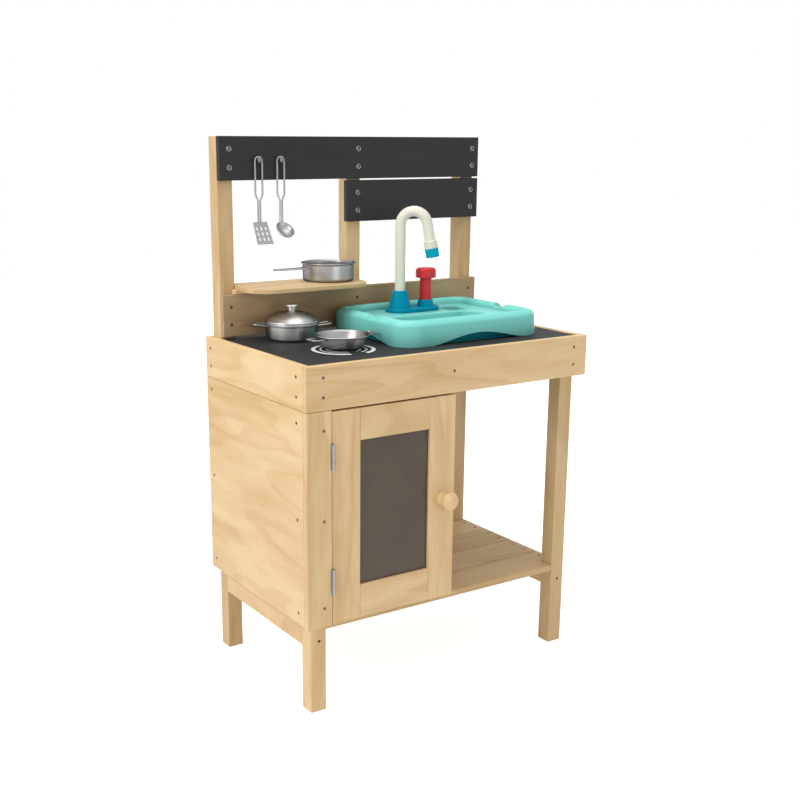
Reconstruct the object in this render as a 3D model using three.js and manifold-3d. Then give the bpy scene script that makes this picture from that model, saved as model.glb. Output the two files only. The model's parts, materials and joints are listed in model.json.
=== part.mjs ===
// A wooden play kitchen: a counter on four square legs with a glazed cupboard door, an open bay, a back
// frame with boards, a moulded sink with a swivel tap and a push pump, and steel toy cookware.
// Lengths are in millimetres. While the pieces are made, x runs right from the left board's outer face,
// y runs back from the front board's outer face and z runs up from the floor.
import * as THREE from "three";
import { mergeVertices } from "three/addons/utils/BufferGeometryUtils.js";
import Module from "manifold-3d";

const wasm = await Module();
wasm.setup();

// Overall sizes
const width = 620;
const depth = 375;
const rimHeight = 625;
const backRise = 366.5;
const easedEdge = 1;
const slipGap = 0.3;
const cutOverrun = 2;

// Timber
const boardThickness = 12.5;
const legSize = 31;
const apronHeight = 77;
const backApronThickness = 8.5;
const panelBottom = 163.5;
const backPanelThickness = 6;
const partitionThickness = 12;
const rightBattenWidth = 8.7;
const worktopThickness = 12;
const worktopRecess = 1.5;
const slatThickness = 12.5;
const slatGap = 2;
const slatCount = 4;
const railHeight = 34;
const backBoardHeight = 78.5;
const backBoardGap = 3.1;
const backsplashLift = 4;
const boardOverhang = 4.3;
const lowerBoardLap = 6.5;
const centrePostLap = 18.7;

// Upper shelf
const shelfThickness = 8;
const shelfDepth = 100;
const shelfLeft = 37;
const shelfPastPost = 2.5;
const shelfCornerRadius = 46;
const cleatHeight = 8;

// Door and its hinges
const stileWidth = 49.3;
const doorSideGap = 1.5;
const doorTopGap = 2;
const doorWidth = 258.4;
const doorThickness = 12;
const doorStileWidth = 56;
const doorTopRailWidth = 57.5;
const doorBottomRailWidth = 61;
const paneThickness = 3;
const paneRecess = 6.3;
const grooveDepth = 6;
const hingeHeight = 46;
const hingeInset = 56;
const hingeLeafThickness = 1.2;
const hingeLeafDepth = 10.5;
const hingeLeafGap = 0.2;
const knuckleRadius = 3.2;
const knuckleReach = 3.4;
const hingePinRadius = 1.25;
const knobLength = 32;
const knobRadius = 17;
const knobFlangeRadius = 13;
const knobNeckRadius = 7.5;
const knobFromDoorEdge = 26;
const knobFullness = 0.8;
const catchWidth = 12;
const catchHeight = 34;
const catchDepth = 14;
const strikeThickness = 1.2;
const strikeHeight = 16;

// Sink tray, tub, tap and pump
const sinkLeft = 236;
const sinkRightMargin = 43.5;
const sinkFrontMargin = 47.5;
const sinkBackMargin = 3;
const sinkCornerRadius = 42;
const sinkWall = 3;
const sinkRimHeight = 47.5;
const sinkDeckHeight = 35;
const sinkSkirtDraft = 1.5;
const sinkRimWidth = 25;
const sinkRimRound = 12;
const basinLeftMargin = 62;
const basinRightMargin = 72;
const basinFrontMargin = 30;
const basinTapGap = 54;
const basinDrop = 34;
const basinRadius = 24;
const basinDraft = 4;
const basinLip = 3;
const frontArchLeftMargin = 65;
const frontArchRightMargin = 49;
const frontArchHeight = 16.5;
const archFullness = 1.4;
const sideArchMargin = 45;
const sideArchHeight = 13.5;
const notchFromFront = 90;
const notchWidth = 38;
const notchDepth = 9.5;
const dishGap = 6;
const dishWidthShare = 0.535;
const dishBackMargin = 58;
const dishDepth = 48;
const dishDrop = 8;
const dishRadius = 8;
const dishDraft = 1;
const dishLip = 2;
const drainRadius = 3;
const drainCircleRadius = 9;
const drainCount = 6;
const tubInset = 22;
const tubFlangeWidth = 6;
const tubFlangeThickness = 2.5;
const tubWall = 2.5;
const tubDrop = 67;
const tubDraft = 6;
const tubCornerRadius = 30;
const cutOutMargin = 4;
const tapPlaceShare = 0.3841;
const tapBackMargin = 66;
const tapToPump = 62;
const tapPlateRadius = 27;
const pumpPlateRadius = 27;
const tapPlateThickness = 7.5;
const tapPlateBevel = 1.5;
const tapConeBottomRadius = 21.9;
const tapConeTopRadius = 13.7;
const tapConeHeight = 34;
const tapSocketDepth = 14;
const pumpCollarBottomRadius = 16.6;
const pumpCollarTopRadius = 14;
const pumpCollarHeight = 13;
const spoutRadius = 10.2;
const spoutBendRadius = 26;
const spoutRise = 153;
const spoutLean = 10.5;
const spoutEndRun = 35;
const spoutCollarRadius = 12.8;
const spoutCollarLength = 15;
const spigotRadius = 8.5;
const spigotLength = 9;
const nozzleRadius = 13;
const nozzleLength = 17;
const nozzleBoreRadius = 8.8;
const spoutHeading = -45;
const plungerRadius = 11.7;
const plungerStroke = 25;
const plungerGuideLength = 18;
const pumpCapRadius = 20.4;
const pumpCapHeight = 21.5;
const pumpCapRound = 4;
const pumpCapClearance = 16;
const cylinderWall = 2.7;
const cylinderReserve = 37;
const cylinderInletRadius = 3;
const springWireRadius = 0.9;
const springCoilRadius = 9;
const springTurns = 6;

// Cookware
const panWall = 1.2;
const panHeel = 6;
const panLipRise = 3;
const saucepanRimRadius = 53;
const saucepanNeckRadius = 49.8;
const saucepanBaseRadius = 49.4;
const saucepanHeight = 35.5;
const saucepanHandleReach = 67.5;
const saucepanHandleWidth = 22;
const saucepanHandleTipWidth = 14;
const potRimRadius = 50;
const potNeckRadius = 48.6;
const potBaseRadius = 48.5;
const potHeight = 30;
const potHandleReach = 24;
const potHandleWidth = 30;
const potHandleTurn = -26;
const potHandleLift = 4;
const lidRadius = 51.3;
const lidDome = 18.4;
const lidFullness = 2.6;
const lidSkirt = 3;
const lidEdge = 3.6;
const lidFlange = 1.5;
const lidKnobRadius = 11;
const lidKnobHeight = 14;
const skilletRimRadius = 51;
const skilletNeckRadius = 46.5;
const skilletBaseRadius = 41;
const skilletHeel = 11;
const skilletHeight = 25;
const skilletHandleReach = 24;
const skilletHandleWidth = 28;
const skilletHandleTurn = 8;
const skilletHandleLift = 2;
const handleWireRadius = 1.8;
const handleBend = 6;
const handleDrop = 1.8;
const saucepanHandleDrop = 5.4;
const rimRoll = 1.2;

// Places of the cookware on the counter and on the shelf
const saucepanFromPost = 56.5;
const saucepanPastPost = 22.5;
const potX = 126.5;
const potFromBoard = 55.5;
const skilletX = 154;
const skilletFromPot = 132.5;

// Hooks and hanging utensils
const hookX = 88;
const hookSpacing = 46;
const hookFromTop = 42.2;
const hookRadius = 3.5;
const hookHeadRadius = 5;
const hookLength = 14.5;
const hookHeadLength = 3;
const utensilFromBoard = 6.9;
const utensilWireRadius = 1.75;
const utensilLoopWidth = 14.8;
const utensilLoopLength = 67;
const utensilNeckLength = 12;
const utensilNeckWidth = 4.6;
const utensilShaftLength = 40;
const bladeWidth = 33;
const bladeLength = 45;
const bladeThickness = 1.2;
const bladeLean = 31;
const bladeSlotWidth = 3.4;
const bladeSlotLength = 7;
const bowlWidth = 34;
const bowlLength = 42;
const bowlDepth = 11;
const bowlWall = 1.3;
const bowlLean = 53;

// How finely round shapes are faceted
const cornerSteps = 5;
const trayCornerSteps = 7;
const archSteps = 14;
const lipSteps = 3;
const drainSegments = 8;
const latheSegments = 28;
const smallSegments = 14;
const wireSides = 6;
const bendSteps = 4;

// Shapes given as shares of the sizes that they follow
const rimCrestShare = 0.55;
const rimOverShares = [
  [0, 1],
  [0.07, 0.6],
  [0.28, 0.15],
  [rimCrestShare, 0],
  [0.78, 0.15],
  [0.93, 0.55],
  [1, 1],
];
const rimUnderShares = [
  [0.8, 0.35],
  [0.53, 0.05],
  [0.3, 0.2],
];
const notchShares = [
  [1, 0],
  [0.94, 0.6],
  [0.82, 1],
  [0.52, 1],
  [0.24, 0.62],
  [0, 0],
];
const lidKnobFootShare = 0.62;
const lidKnobShares = [
  [0, 0],
  [lidKnobFootShare, 0],
  [0.5, 0.25],
  [0.58, 0.5],
  [1, 0.75],
  [0.92, 0.95],
  [0.6, 1],
  [0, 1],
];
const slotRowShares = [0.3, 0.54, 0.78];
const slotColumnShares = [-0.27, 0, 0.27];

// Places worked out from the sizes above
const totalHeight = rimHeight + backRise;
const apronBottom = rimHeight - apronHeight;
const worktopTop = rimHeight - worktopRecess;
const worktopBottom = worktopTop - worktopThickness;
const innerLeft = boardThickness;
const innerRight = width - boardThickness;
const postBack = depth - backApronThickness;
const postFront = postBack - legSize;
const boardFront = postFront - boardThickness;
const rightLegRight = innerRight - rightBattenWidth;
const rightLegLeft = rightLegRight - legSize;
const leftLegRight = innerLeft + legSize;
const boardRight = rightLegRight + boardOverhang;
const slatBottom = panelBottom - slatThickness + doorTopGap;
const slatTop = slatBottom + slatThickness;
const slatRun = postFront - easedEdge - boardThickness;
const slatWidth = (slatRun - slatGap * (slatCount - 1)) / slatCount;
const doorLeft = stileWidth + doorSideGap;
const doorRight = doorLeft + doorWidth;
const centrePostLeft = doorRight - centrePostLap;
const lowerBoardTop = totalHeight - backBoardHeight - backBoardGap;
const lowerBoardLeft = centrePostLeft - lowerBoardLap;
const backsplashBottom = worktopTop + backsplashLift;
const backsplashTop = backsplashBottom + backBoardHeight;
const shelfBottom = backsplashTop + cleatHeight;
const shelfTop = shelfBottom + shelfThickness;
const shelfRight = centrePostLeft + shelfPastPost;
const centrePostRight = centrePostLeft + legSize;
const doorTop = apronBottom - doorTopGap;
const doorBottom = slatTop;
const knobHeight = (doorBottom + doorTop) / 2;
const partitionRight = doorRight - slipGap;
const partitionLeft = partitionRight - partitionThickness;
const hingeX = (stileWidth + doorLeft) / 2;
const hingeHeights = [doorBottom + hingeInset + hingeHeight / 2, doorTop - hingeInset - hingeHeight / 2];
const sinkRight = innerRight - sinkRightMargin;
const sinkWidth = sinkRight - sinkLeft;
const sinkFront = boardThickness + sinkFrontMargin;
const sinkBack = boardFront - sinkBackMargin;
const deckTop = worktopTop + sinkDeckHeight;
const basinFloor = deckTop - basinDrop;
const plateTop = deckTop + tapPlateThickness;
const tapX = sinkLeft + sinkWidth * tapPlaceShare;
const tapY = sinkBack - tapBackMargin;
const pumpX = tapX + tapToPump;
const pumpY = tapY;
const basinX = [sinkLeft + basinLeftMargin, sinkRight - basinRightMargin];
const basinY = [sinkFront + basinFrontMargin, tapY - basinTapGap];
const dishLeft = pumpX + pumpPlateRadius + dishGap;
const dishSpace = sinkRight - sinkRimWidth - pumpX - pumpPlateRadius;
const dishX = [dishLeft, dishLeft + dishSpace * dishWidthShare];
const dishY = [sinkBack - dishBackMargin - dishDepth, sinkBack - dishBackMargin];
const saucepanX = centrePostLeft - saucepanFromPost;
const saucepanY = postFront - saucepanPastPost;
const potY = boardFront - potFromBoard;
const skilletY = potY - skilletFromPot;
const hookHeight = totalHeight - hookFromTop;
const radians = THREE.MathUtils.degToRad;

// Finishes
function finish(color, roughness, metalness) {
  return new THREE.MeshStandardMaterial({ color, roughness, metalness });
}

const pine = finish(0xe6c796, 0.62, 0);
const blackPaint = finish(0x343436, 0.7, 0);
const smokedPane = finish(0x5f554e, 0.25, 0);
const steel = finish(0xb9bbbc, 0.3, 1);
const aqua = finish(0x86e6d2, 0.45, 0);
const deepTeal = finish(0x0a6f86, 0.5, 0);
const blue = finish(0x0a93bd, 0.45, 0);
const white = finish(0xecebdf, 0.4, 0);
const red = finish(0xd8313c, 0.4, 0);
const castorGrey = finish(0x8c8e90, 0.6, 0);

// Solids and geometries

// A geometry as a closed solid that can be cut and joined.
function solidOf(geometry) {
  const bare = geometry.clone();
  bare.deleteAttribute("normal");
  bare.deleteAttribute("uv");
  const merged = mergeVertices(bare);
  return new wasm.Manifold(
    new wasm.Mesh({
      numProp: 3,
      vertProperties: merged.attributes.position.array,
      triVerts: new Uint32Array(merged.index.array),
    }),
  );
}

function geometryOf(solid) {
  const mesh = solid.getMesh();
  const positions = new Float32Array(mesh.numVert * 3);
  for (let i = 0; i < mesh.numVert; i++) {
    positions.set(mesh.vertProperties.subarray(i * mesh.numProp, i * mesh.numProp + 3), i * 3);
  }
  const geometry = new THREE.BufferGeometry();
  geometry.setAttribute("position", new THREE.BufferAttribute(positions, 3));
  geometry.setIndex(new THREE.BufferAttribute(mesh.triVerts, 1));
  return geometry;
}

function joined(first, ...others) {
  return geometryOf(others.reduce((whole, piece) => whole.add(solidOf(piece)), solidOf(first)));
}

function cut(stock, ...tools) {
  return geometryOf(tools.reduce((left, tool) => left.subtract(solidOf(tool)), solidOf(stock)));
}

const root = new THREE.Group();

function add(name, geometry, material, parent = root) {
  const mesh = new THREE.Mesh(geometry, material);
  mesh.name = name;
  parent.add(mesh);
  return mesh;
}

// A group that stands at a place, for pieces made round their own centre.
function groupAt(x, y, z, turnAboutZ = 0) {
  const group = new THREE.Group();
  group.position.set(x, y, z);
  group.rotation.z = radians(turnAboutZ);
  root.add(group);
  return group;
}

const axisX = new THREE.Vector3(1, 0, 0);
const axisY = new THREE.Vector3(0, 1, 0);
const axisZ = new THREE.Vector3(0, 0, 1);
const crossAxes = { x: ["y", "z"], y: ["z", "x"], z: ["x", "y"] };
const axisTurns = {
  x: new THREE.Matrix4().makeBasis(axisY, axisZ, axisX),
  y: new THREE.Matrix4().makeBasis(axisZ, axisX, axisY),
  z: new THREE.Matrix4(),
};

// A shape drawn across an axis and drawn out along it. Across x it is drawn in y and z, across y in z
// and x, and across z in x and y.
function prism(shape, axis, from, to, curveSegments = cornerSteps) {
  const geometry = new THREE.ExtrudeGeometry(shape, { depth: to - from, bevelEnabled: false, curveSegments });
  geometry.translate(0, 0, from);
  return geometry.applyMatrix4(axisTurns[axis]);
}

function shapeOf(points) {
  return new THREE.Shape(points.map(([u, v]) => new THREE.Vector2(u, v)));
}

// A block given by its two ends on each axis.
function block(x, y, z) {
  return prism(shapeOf([[x[0], y[0]], [x[1], y[0]], [x[1], y[1]], [x[0], y[1]]]), "z", z[0], z[1]);
}

// A planed board: a block whose long edges are eased.
function board(x, y, z, along) {
  const ends = { x, y, z };
  const [first, second] = crossAxes[along];
  const [u0, u1] = ends[first];
  const [v0, v1] = ends[second];
  const e = easedEdge;
  const section = shapeOf([
    [u0 + e, v0],
    [u1 - e, v0],
    [u1, v0 + e],
    [u1, v1 - e],
    [u1 - e, v1],
    [u0 + e, v1],
    [u0, v1 - e],
    [u0, v0 + e],
  ]);
  return prism(section, along, ends[along][0], ends[along][1]);
}

// A rectangle with round corners, as a path to draw or to cut out.
function roundedRectangle(x, y, radius, path = new THREE.Shape()) {
  path.absarc(x[1] - radius, y[0] + radius, radius, -Math.PI / 2, 0);
  path.absarc(x[1] - radius, y[1] - radius, radius, 0, Math.PI / 2);
  path.absarc(x[0] + radius, y[1] - radius, radius, Math.PI / 2, Math.PI);
  path.absarc(x[0] + radius, y[0] + radius, radius, Math.PI, Math.PI * 1.5);
  path.closePath();
  return path;
}

// The points of a round-cornered rectangle, moved in from its outline, at one height.
function roundedRing(x, y, radius, inset, z, steps = cornerSteps) {
  const r = Math.max(radius - inset, easedEdge);
  const centres = [
    [x[1] - inset - r, y[0] + inset + r],
    [x[1] - inset - r, y[1] - inset - r],
    [x[0] + inset + r, y[1] - inset - r],
    [x[0] + inset + r, y[0] + inset + r],
  ];
  return centres.flatMap(([cx, cy], corner) =>
    Array.from({ length: steps + 1 }, (_, i) => {
      const angle = (corner - 1 + i / steps) * (Math.PI / 2);
      return new THREE.Vector3(cx + r * Math.cos(angle), cy + r * Math.sin(angle), z);
    }),
  );
}

// A skin over rings with as many points each, closed by a flat cap at each end.
function loft(rings) {
  const count = rings[0].length;
  const points = rings.flat();
  const triangles = [];
  for (let i = 0; i < rings.length - 1; i++) {
    for (let j = 0; j < count; j++) {
      const a = i * count + j;
      const b = i * count + ((j + 1) % count);
      triangles.push(a, b, b + count, a, b + count, a + count);
    }
  }
  const last = (rings.length - 1) * count;
  for (let j = 1; j < count - 1; j++) {
    triangles.push(0, j + 1, j, last, last + j, last + j + 1);
  }
  const geometry = new THREE.BufferGeometry().setFromPoints(points);
  geometry.setIndex(triangles);
  return geometry;
}

// A turned piece: a profile of radius and height, spun round z.
function turned(profile, segments = latheSegments) {
  const points = profile.map(([radius, height]) => new THREE.Vector2(radius, height));
  return new THREE.LatheGeometry(points, segments).rotateX(Math.PI / 2);
}

function rod(radius, from, to, segments = smallSegments) {
  return turned([[0, from], [radius, from], [radius, to], [0, to]], segments);
}

// A path through given points, with a step at each of them.
class PointPath extends THREE.Curve {
  constructor(points) {
    super();
    this.points = points;
  }

  getPoint(t, target = new THREE.Vector3()) {
    const place = t * (this.points.length - 1);
    const i = Math.min(Math.floor(place), this.points.length - 2);
    return target.lerpVectors(this.points[i], this.points[i + 1], place - i);
  }

  getTangent(t, target = new THREE.Vector3()) {
    const i = Math.round(t * (this.points.length - 1));
    const before = this.points[Math.max(i - 1, 0)];
    const here = this.points[i];
    const after = this.points[Math.min(i + 1, this.points.length - 1)];
    const arriving = here.clone().sub(before).normalize();
    const leaving = after.clone().sub(here).normalize();
    return target.copy(arriving).add(leaving).normalize();
  }

  getPointAt(u, target) {
    return this.getPoint(u, target);
  }

  getTangentAt(u, target) {
    return this.getTangent(u, target);
  }
}

// The points of straight runs between corners, with a round bend at each inner corner.
function bentPoints(corners, bendRadius, steps = bendSteps) {
  const points = [corners[0]];
  for (let i = 1; i < corners.length - 1; i++) {
    const toBefore = corners[i - 1].clone().sub(corners[i]).normalize();
    const toAfter = corners[i + 1].clone().sub(corners[i]).normalize();
    const half = toBefore.angleTo(toAfter) / 2;
    const middle = toBefore.clone().add(toAfter).normalize();
    const centre = corners[i].clone().addScaledVector(middle, bendRadius / Math.sin(half));
    const start = corners[i].clone().addScaledVector(toBefore, bendRadius / Math.tan(half)).sub(centre);
    const axis = toAfter.clone().cross(toBefore).normalize();
    for (let k = 0; k <= steps; k++) {
      const turn = (k / steps) * (Math.PI - 2 * half);
      points.push(start.clone().applyAxisAngle(axis, turn).add(centre));
    }
  }
  points.push(corners[corners.length - 1]);
  return points;
}

// A round wire or tube along points.
function wire(points, radius, sides = wireSides) {
  const section = new THREE.Shape(
    Array.from({ length: sides }, (_, i) => {
      const angle = (i / sides) * Math.PI * 2;
      return new THREE.Vector2(radius * Math.cos(angle), radius * Math.sin(angle));
    }),
  );
  const options = { steps: points.length - 1, bevelEnabled: false, extrudePath: new PointPath(points) };
  return new THREE.ExtrudeGeometry(section, options);
}

// The counter's frame: legs, aprons, rails and the slatted bottom
function addCounterFrame() {
  const frontLegY = [boardThickness, boardThickness + legSize];
  const postY = [postFront, postBack];
  const leftLegX = [innerLeft, leftLegRight];
  const rightLegX = [rightLegLeft, rightLegRight];
  add("leg_front_left", board(leftLegX, frontLegY, [0, worktopBottom], "z"), pine);
  add("leg_front_right", board(rightLegX, frontLegY, [0, worktopBottom], "z"), pine);
  add("post_back_left", board(leftLegX, postY, [0, totalHeight], "z"), pine);
  add("post_back_right", board(rightLegX, postY, [0, totalHeight], "z"), pine);
  add("post_centre", board([centrePostLeft, centrePostRight], postY, [apronBottom, totalHeight], "z"), pine);

  const apronZ = [apronBottom, rimHeight];
  add("apron_front", board([0, width], [0, boardThickness], apronZ, "x"), pine);
  add("apron_left", board([0, innerLeft], [boardThickness, depth], apronZ, "y"), pine);
  add("apron_right", board([innerRight, width], [boardThickness, depth], apronZ, "y"), pine);
  add("apron_back", board([innerLeft, innerRight], [postBack, depth], apronZ, "x"), pine);
  const battenX = [rightLegRight, innerRight];
  add("batten_right", board(battenX, [boardThickness, postBack], [apronBottom, worktopBottom], "y"), pine);

  const railZ = [slatBottom - railHeight, slatBottom];
  const railY = [boardThickness + legSize, postFront];
  add("rail_left", board(leftLegX, railY, railZ, "y"), pine);
  add("rail_right", board(rightLegX, railY, railZ, "y"), pine);

  for (let i = 0; i < slatCount; i++) {
    const front = boardThickness + i * (slatWidth + slatGap);
    const slat = board([innerLeft, rightLegRight], [front, front + slatWidth], [slatBottom, slatTop], "x");
    const legNotch = [front - cutOverrun, frontLegY[1] + slipGap];
    const notchZ = [slatBottom - cutOverrun, slatTop + cutOverrun];
    const leftNotch = block([innerLeft - cutOverrun, leftLegRight + slipGap], legNotch, notchZ);
    const rightNotch = block([rightLegLeft - slipGap, rightLegRight + cutOverrun], legNotch, notchZ);
    add(`shelf_slat_${i + 1}`, i === 0 ? cut(slat, leftNotch, rightNotch) : slat, pine);
  }
}

// The cupboard's walls
function addCupboard() {
  const wallZ = [panelBottom, apronBottom];
  add("side_panel_left", board([0, innerLeft], [boardThickness, depth], wallZ, "y"), pine);
  const backPanelY = [postBack, postBack + backPanelThickness];
  add("back_panel", block([innerLeft, partitionRight], backPanelY, wallZ), pine);
  const partitionX = [partitionLeft, partitionRight];
  add("partition_panel", board(partitionX, [boardThickness, postBack], [slatTop, apronBottom], "z"), pine);

  const stile = board([0, stileWidth], [0, boardThickness], wallZ, "z");
  add("stile_front_left", cut(stile, ...hingeHeights.map((z) => hingeMortise(z, -1))), pine);
}

// The black worktop, notched round the posts and cut out for the sink's tub
function addWorktop() {
  const right = rightLegLeft - slipGap;
  const notchFront = postFront - slipGap;
  const panel = shapeOf([
    [innerLeft, boardThickness],
    [innerRight, boardThickness],
    [innerRight, notchFront],
    [right, notchFront],
    [right, postBack],
    [centrePostRight + slipGap, postBack],
    [centrePostRight + slipGap, notchFront],
    [centrePostLeft - slipGap, notchFront],
    [centrePostLeft - slipGap, postBack],
    [leftLegRight + slipGap, postBack],
    [leftLegRight + slipGap, notchFront],
    [innerLeft, notchFront],
  ]);
  const inset = tubInset - cutOutMargin;
  const holeX = [sinkLeft + inset, sinkRight - inset];
  const holeY = [sinkFront + inset, sinkBack - inset + tubFlangeWidth];
  panel.holes.push(roundedRectangle(holeX, holeY, tubCornerRadius, new THREE.Path()));
  add("worktop_panel", prism(panel, "z", worktopBottom, worktopTop), blackPaint);
}

// The boards on the back posts, and the little shelf over the hob
function addBackBoards() {
  const boardY = [boardFront, postFront];
  const left = innerLeft;
  const headerZ = [totalHeight - backBoardHeight, totalHeight];
  add("header_board", board([left, boardRight], boardY, headerZ, "x"), blackPaint);
  const lowerZ = [lowerBoardTop - backBoardHeight, lowerBoardTop];
  add("lower_board", board([lowerBoardLeft, boardRight], boardY, lowerZ, "x"), blackPaint);
  const backsplashZ = [backsplashBottom, backsplashTop];
  add("backsplash_board", board([left, boardRight], boardY, backsplashZ, "x"), pine);
  add("shelf_cleat", board([shelfLeft, shelfRight], boardY, [backsplashTop, shelfBottom], "x"), pine);

  const front = postFront - shelfDepth;
  const r = shelfCornerRadius;
  const outline = new THREE.Shape();
  outline.moveTo(shelfLeft, postFront - slipGap);
  outline.absarc(shelfLeft + r, front + r, r, Math.PI, Math.PI * 1.5);
  outline.absarc(shelfRight - r, front + r, r, -Math.PI / 2, 0);
  outline.lineTo(shelfRight, postFront - slipGap);
  outline.lineTo(centrePostLeft - slipGap, postFront - slipGap);
  outline.lineTo(centrePostLeft - slipGap, postBack);
  outline.lineTo(leftLegRight + slipGap, postBack);
  outline.lineTo(leftLegRight + slipGap, postFront - slipGap);
  outline.closePath();
  add("upper_shelf", prism(outline, "z", shelfBottom, shelfTop), pine);
}

// The recess in a wooden edge that a hinge leaf lies in: side -1 is the stile's, side 1 the door's.
function hingeMortise(z, side) {
  const bottom = hingeX + side * (hingeLeafGap / 2 + hingeLeafThickness);
  const x = side < 0 ? [bottom, hingeX] : [hingeX, bottom];
  const reach = hingeHeight / 2 + slipGap;
  return block(x, [-cutOverrun, hingeLeafDepth + slipGap], [z - reach, z + reach]);
}

// A butt hinge. The fixed leaf has the outer knuckles and the pin, the door's leaf the middle knuckle.
function hingeLeaf(z, side) {
  const near = hingeX + (side * hingeLeafGap) / 2;
  const far = near + side * hingeLeafThickness;
  const x = side < 0 ? [far, near] : [near, far];
  const bottom = z - hingeHeight / 2;
  const third = hingeHeight / 3;
  const behindBarrel = knuckleRadius + slipGap - knuckleReach;
  const leaf = block(x, [behindBarrel, hingeLeafDepth], [bottom, bottom + hingeHeight]);
  const barrel = (from, to, radius) => rod(radius, from, to).translate(hingeX, -knuckleReach, 0);
  const tab = (from, to, front) => block(x, [front, behindBarrel + easedEdge / 2], [from, to]);
  const lower = bottom + third;
  const upper = bottom + third * 2;
  if (side < 0) {
    return joined(
      leaf,
      barrel(bottom, lower - slipGap, knuckleRadius),
      tab(bottom, lower - slipGap, -knuckleReach),
      barrel(upper + slipGap, bottom + hingeHeight, knuckleRadius),
      tab(upper + slipGap, bottom + hingeHeight, -knuckleReach),
      barrel(bottom, bottom + hingeHeight, hingePinRadius),
    );
  }
  const boreRadius = hingePinRadius + slipGap;
  const knuckle = joined(leaf, barrel(lower, upper, knuckleRadius), tab(lower, upper, -knuckleReach));
  return cut(knuckle, barrel(lower - cutOverrun, upper + cutOverrun, boreRadius));
}

// The glazed door: grooved stiles and rails round a smoked pane
function addDoor() {
  const groove = [paneRecess - slipGap, paneRecess + paneThickness + slipGap];
  const hingeStileX = [doorLeft, doorLeft + doorStileWidth];
  const latchStileX = [doorRight - doorStileWidth, doorRight];
  const doorZ = [doorBottom, doorTop];
  const grooveZ = [doorBottom - cutOverrun, doorTop + cutOverrun];
  const hingeStile = board(hingeStileX, [0, doorThickness], doorZ, "z");
  const hingeGroove = block([hingeStileX[1] - grooveDepth, hingeStileX[1] + cutOverrun], groove, grooveZ);
  const mortises = hingeHeights.map((z) => hingeMortise(z, 1));
  add("door_stile_hinge", cut(hingeStile, hingeGroove, ...mortises), pine);
  const latchStile = board(latchStileX, [0, doorThickness], doorZ, "z");
  const latchGroove = block([latchStileX[0] - cutOverrun, latchStileX[0] + grooveDepth], groove, grooveZ);
  add("door_stile_latch", cut(latchStile, latchGroove), pine);

  const railX = [hingeStileX[1], latchStileX[0]];
  const railCutX = [railX[0] - cutOverrun, railX[1] + cutOverrun];
  const topRailBottom = doorTop - doorTopRailWidth;
  const topRail = board(railX, [0, doorThickness], [topRailBottom, doorTop], "x");
  const topGroove = block(railCutX, groove, [topRailBottom - cutOverrun, topRailBottom + grooveDepth]);
  add("door_rail_top", cut(topRail, topGroove), pine);
  const bottomRailTop = doorBottom + doorBottomRailWidth;
  const bottomRail = board(railX, [0, doorThickness], [doorBottom, bottomRailTop], "x");
  const bottomGroove = block(railCutX, groove, [bottomRailTop - grooveDepth, bottomRailTop + cutOverrun]);
  add("door_rail_bottom", cut(bottomRail, bottomGroove), pine);

  const paneReach = grooveDepth - slipGap;
  const paneX = [railX[0] - paneReach, railX[1] + paneReach];
  const paneZ = [bottomRailTop - paneReach, topRailBottom + paneReach];
  add("door_pane", block(paneX, [paneRecess, paneRecess + paneThickness], paneZ), smokedPane);

  const knobHeadLength = knobRadius;
  const knobHeadMiddle = knobLength - knobHeadLength / 2;
  const flangeLength = knobLength / 8;
  const knobProfile = [
    [0, 0],
    [knobFlangeRadius, 0],
    [knobFlangeRadius, flangeLength / 2],
    [(knobFlangeRadius + knobNeckRadius) / 2, flangeLength],
    [knobNeckRadius, flangeLength * 2],
    [knobNeckRadius, knobHeadMiddle - knobHeadLength / 2],
  ];
  const knobRoundSteps = 6;
  for (let i = 1; i <= knobRoundSteps; i++) {
    const angle = -Math.PI / 2 + (i / knobRoundSteps) * Math.PI;
    const rise = (knobHeadLength / 2) * Math.sin(angle);
    const reach = knobRadius * Math.cos(angle) ** knobFullness;
    knobProfile.push([i === knobRoundSteps ? 0 : reach, knobHeadMiddle + rise]);
  }
  const knob = turned(knobProfile, latheSegments).rotateX(Math.PI / 2);
  knob.translate(doorRight - knobFromDoorEdge, 0, knobHeight);
  add("door_knob", knob, pine);

  const catchY = doorThickness + strikeThickness + slipGap;
  const catchX = [partitionLeft - catchWidth, partitionLeft];
  const catchZ = [knobHeight - catchHeight / 2, knobHeight + catchHeight / 2];
  add("magnet_catch", board(catchX, [catchY, catchY + catchDepth], catchZ, "z"), castorGrey);
  const strikeY = [doorThickness, doorThickness + strikeThickness];
  const strikeZ = [knobHeight - strikeHeight / 2, knobHeight + strikeHeight / 2];
  add("catch_strike", block(catchX, strikeY, strikeZ), steel);

  const [lowHinge, highHinge] = hingeHeights;
  add("hinge_lower_fixed_leaf", hingeLeaf(lowHinge, -1), steel);
  add("hinge_lower_door_leaf", hingeLeaf(lowHinge, 1), steel);
  add("hinge_upper_fixed_leaf", hingeLeaf(highHinge, -1), steel);
  add("hinge_upper_door_leaf", hingeLeaf(highHinge, 1), steel);
}

// An arch to cut from a skirt's foot: flat at both ends and full in the middle. Its span lies along y
// when the shape is drawn across x, and along x when it is drawn across y.
function archShape(ends, height, upFirst) {
  const foot = worktopTop - cutOverrun;
  const steps = archSteps;
  const points = Array.from({ length: steps + 1 }, (_, i) => {
    const share = i / steps;
    const rise = height * Math.sin(Math.PI * share) ** archFullness;
    return [ends[0] + (ends[1] - ends[0]) * share, worktopTop + rise];
  });
  points.push([ends[1], foot], [ends[0], foot]);
  return shapeOf(upFirst ? points.map(([across, up]) => [up, across]) : points);
}

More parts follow.
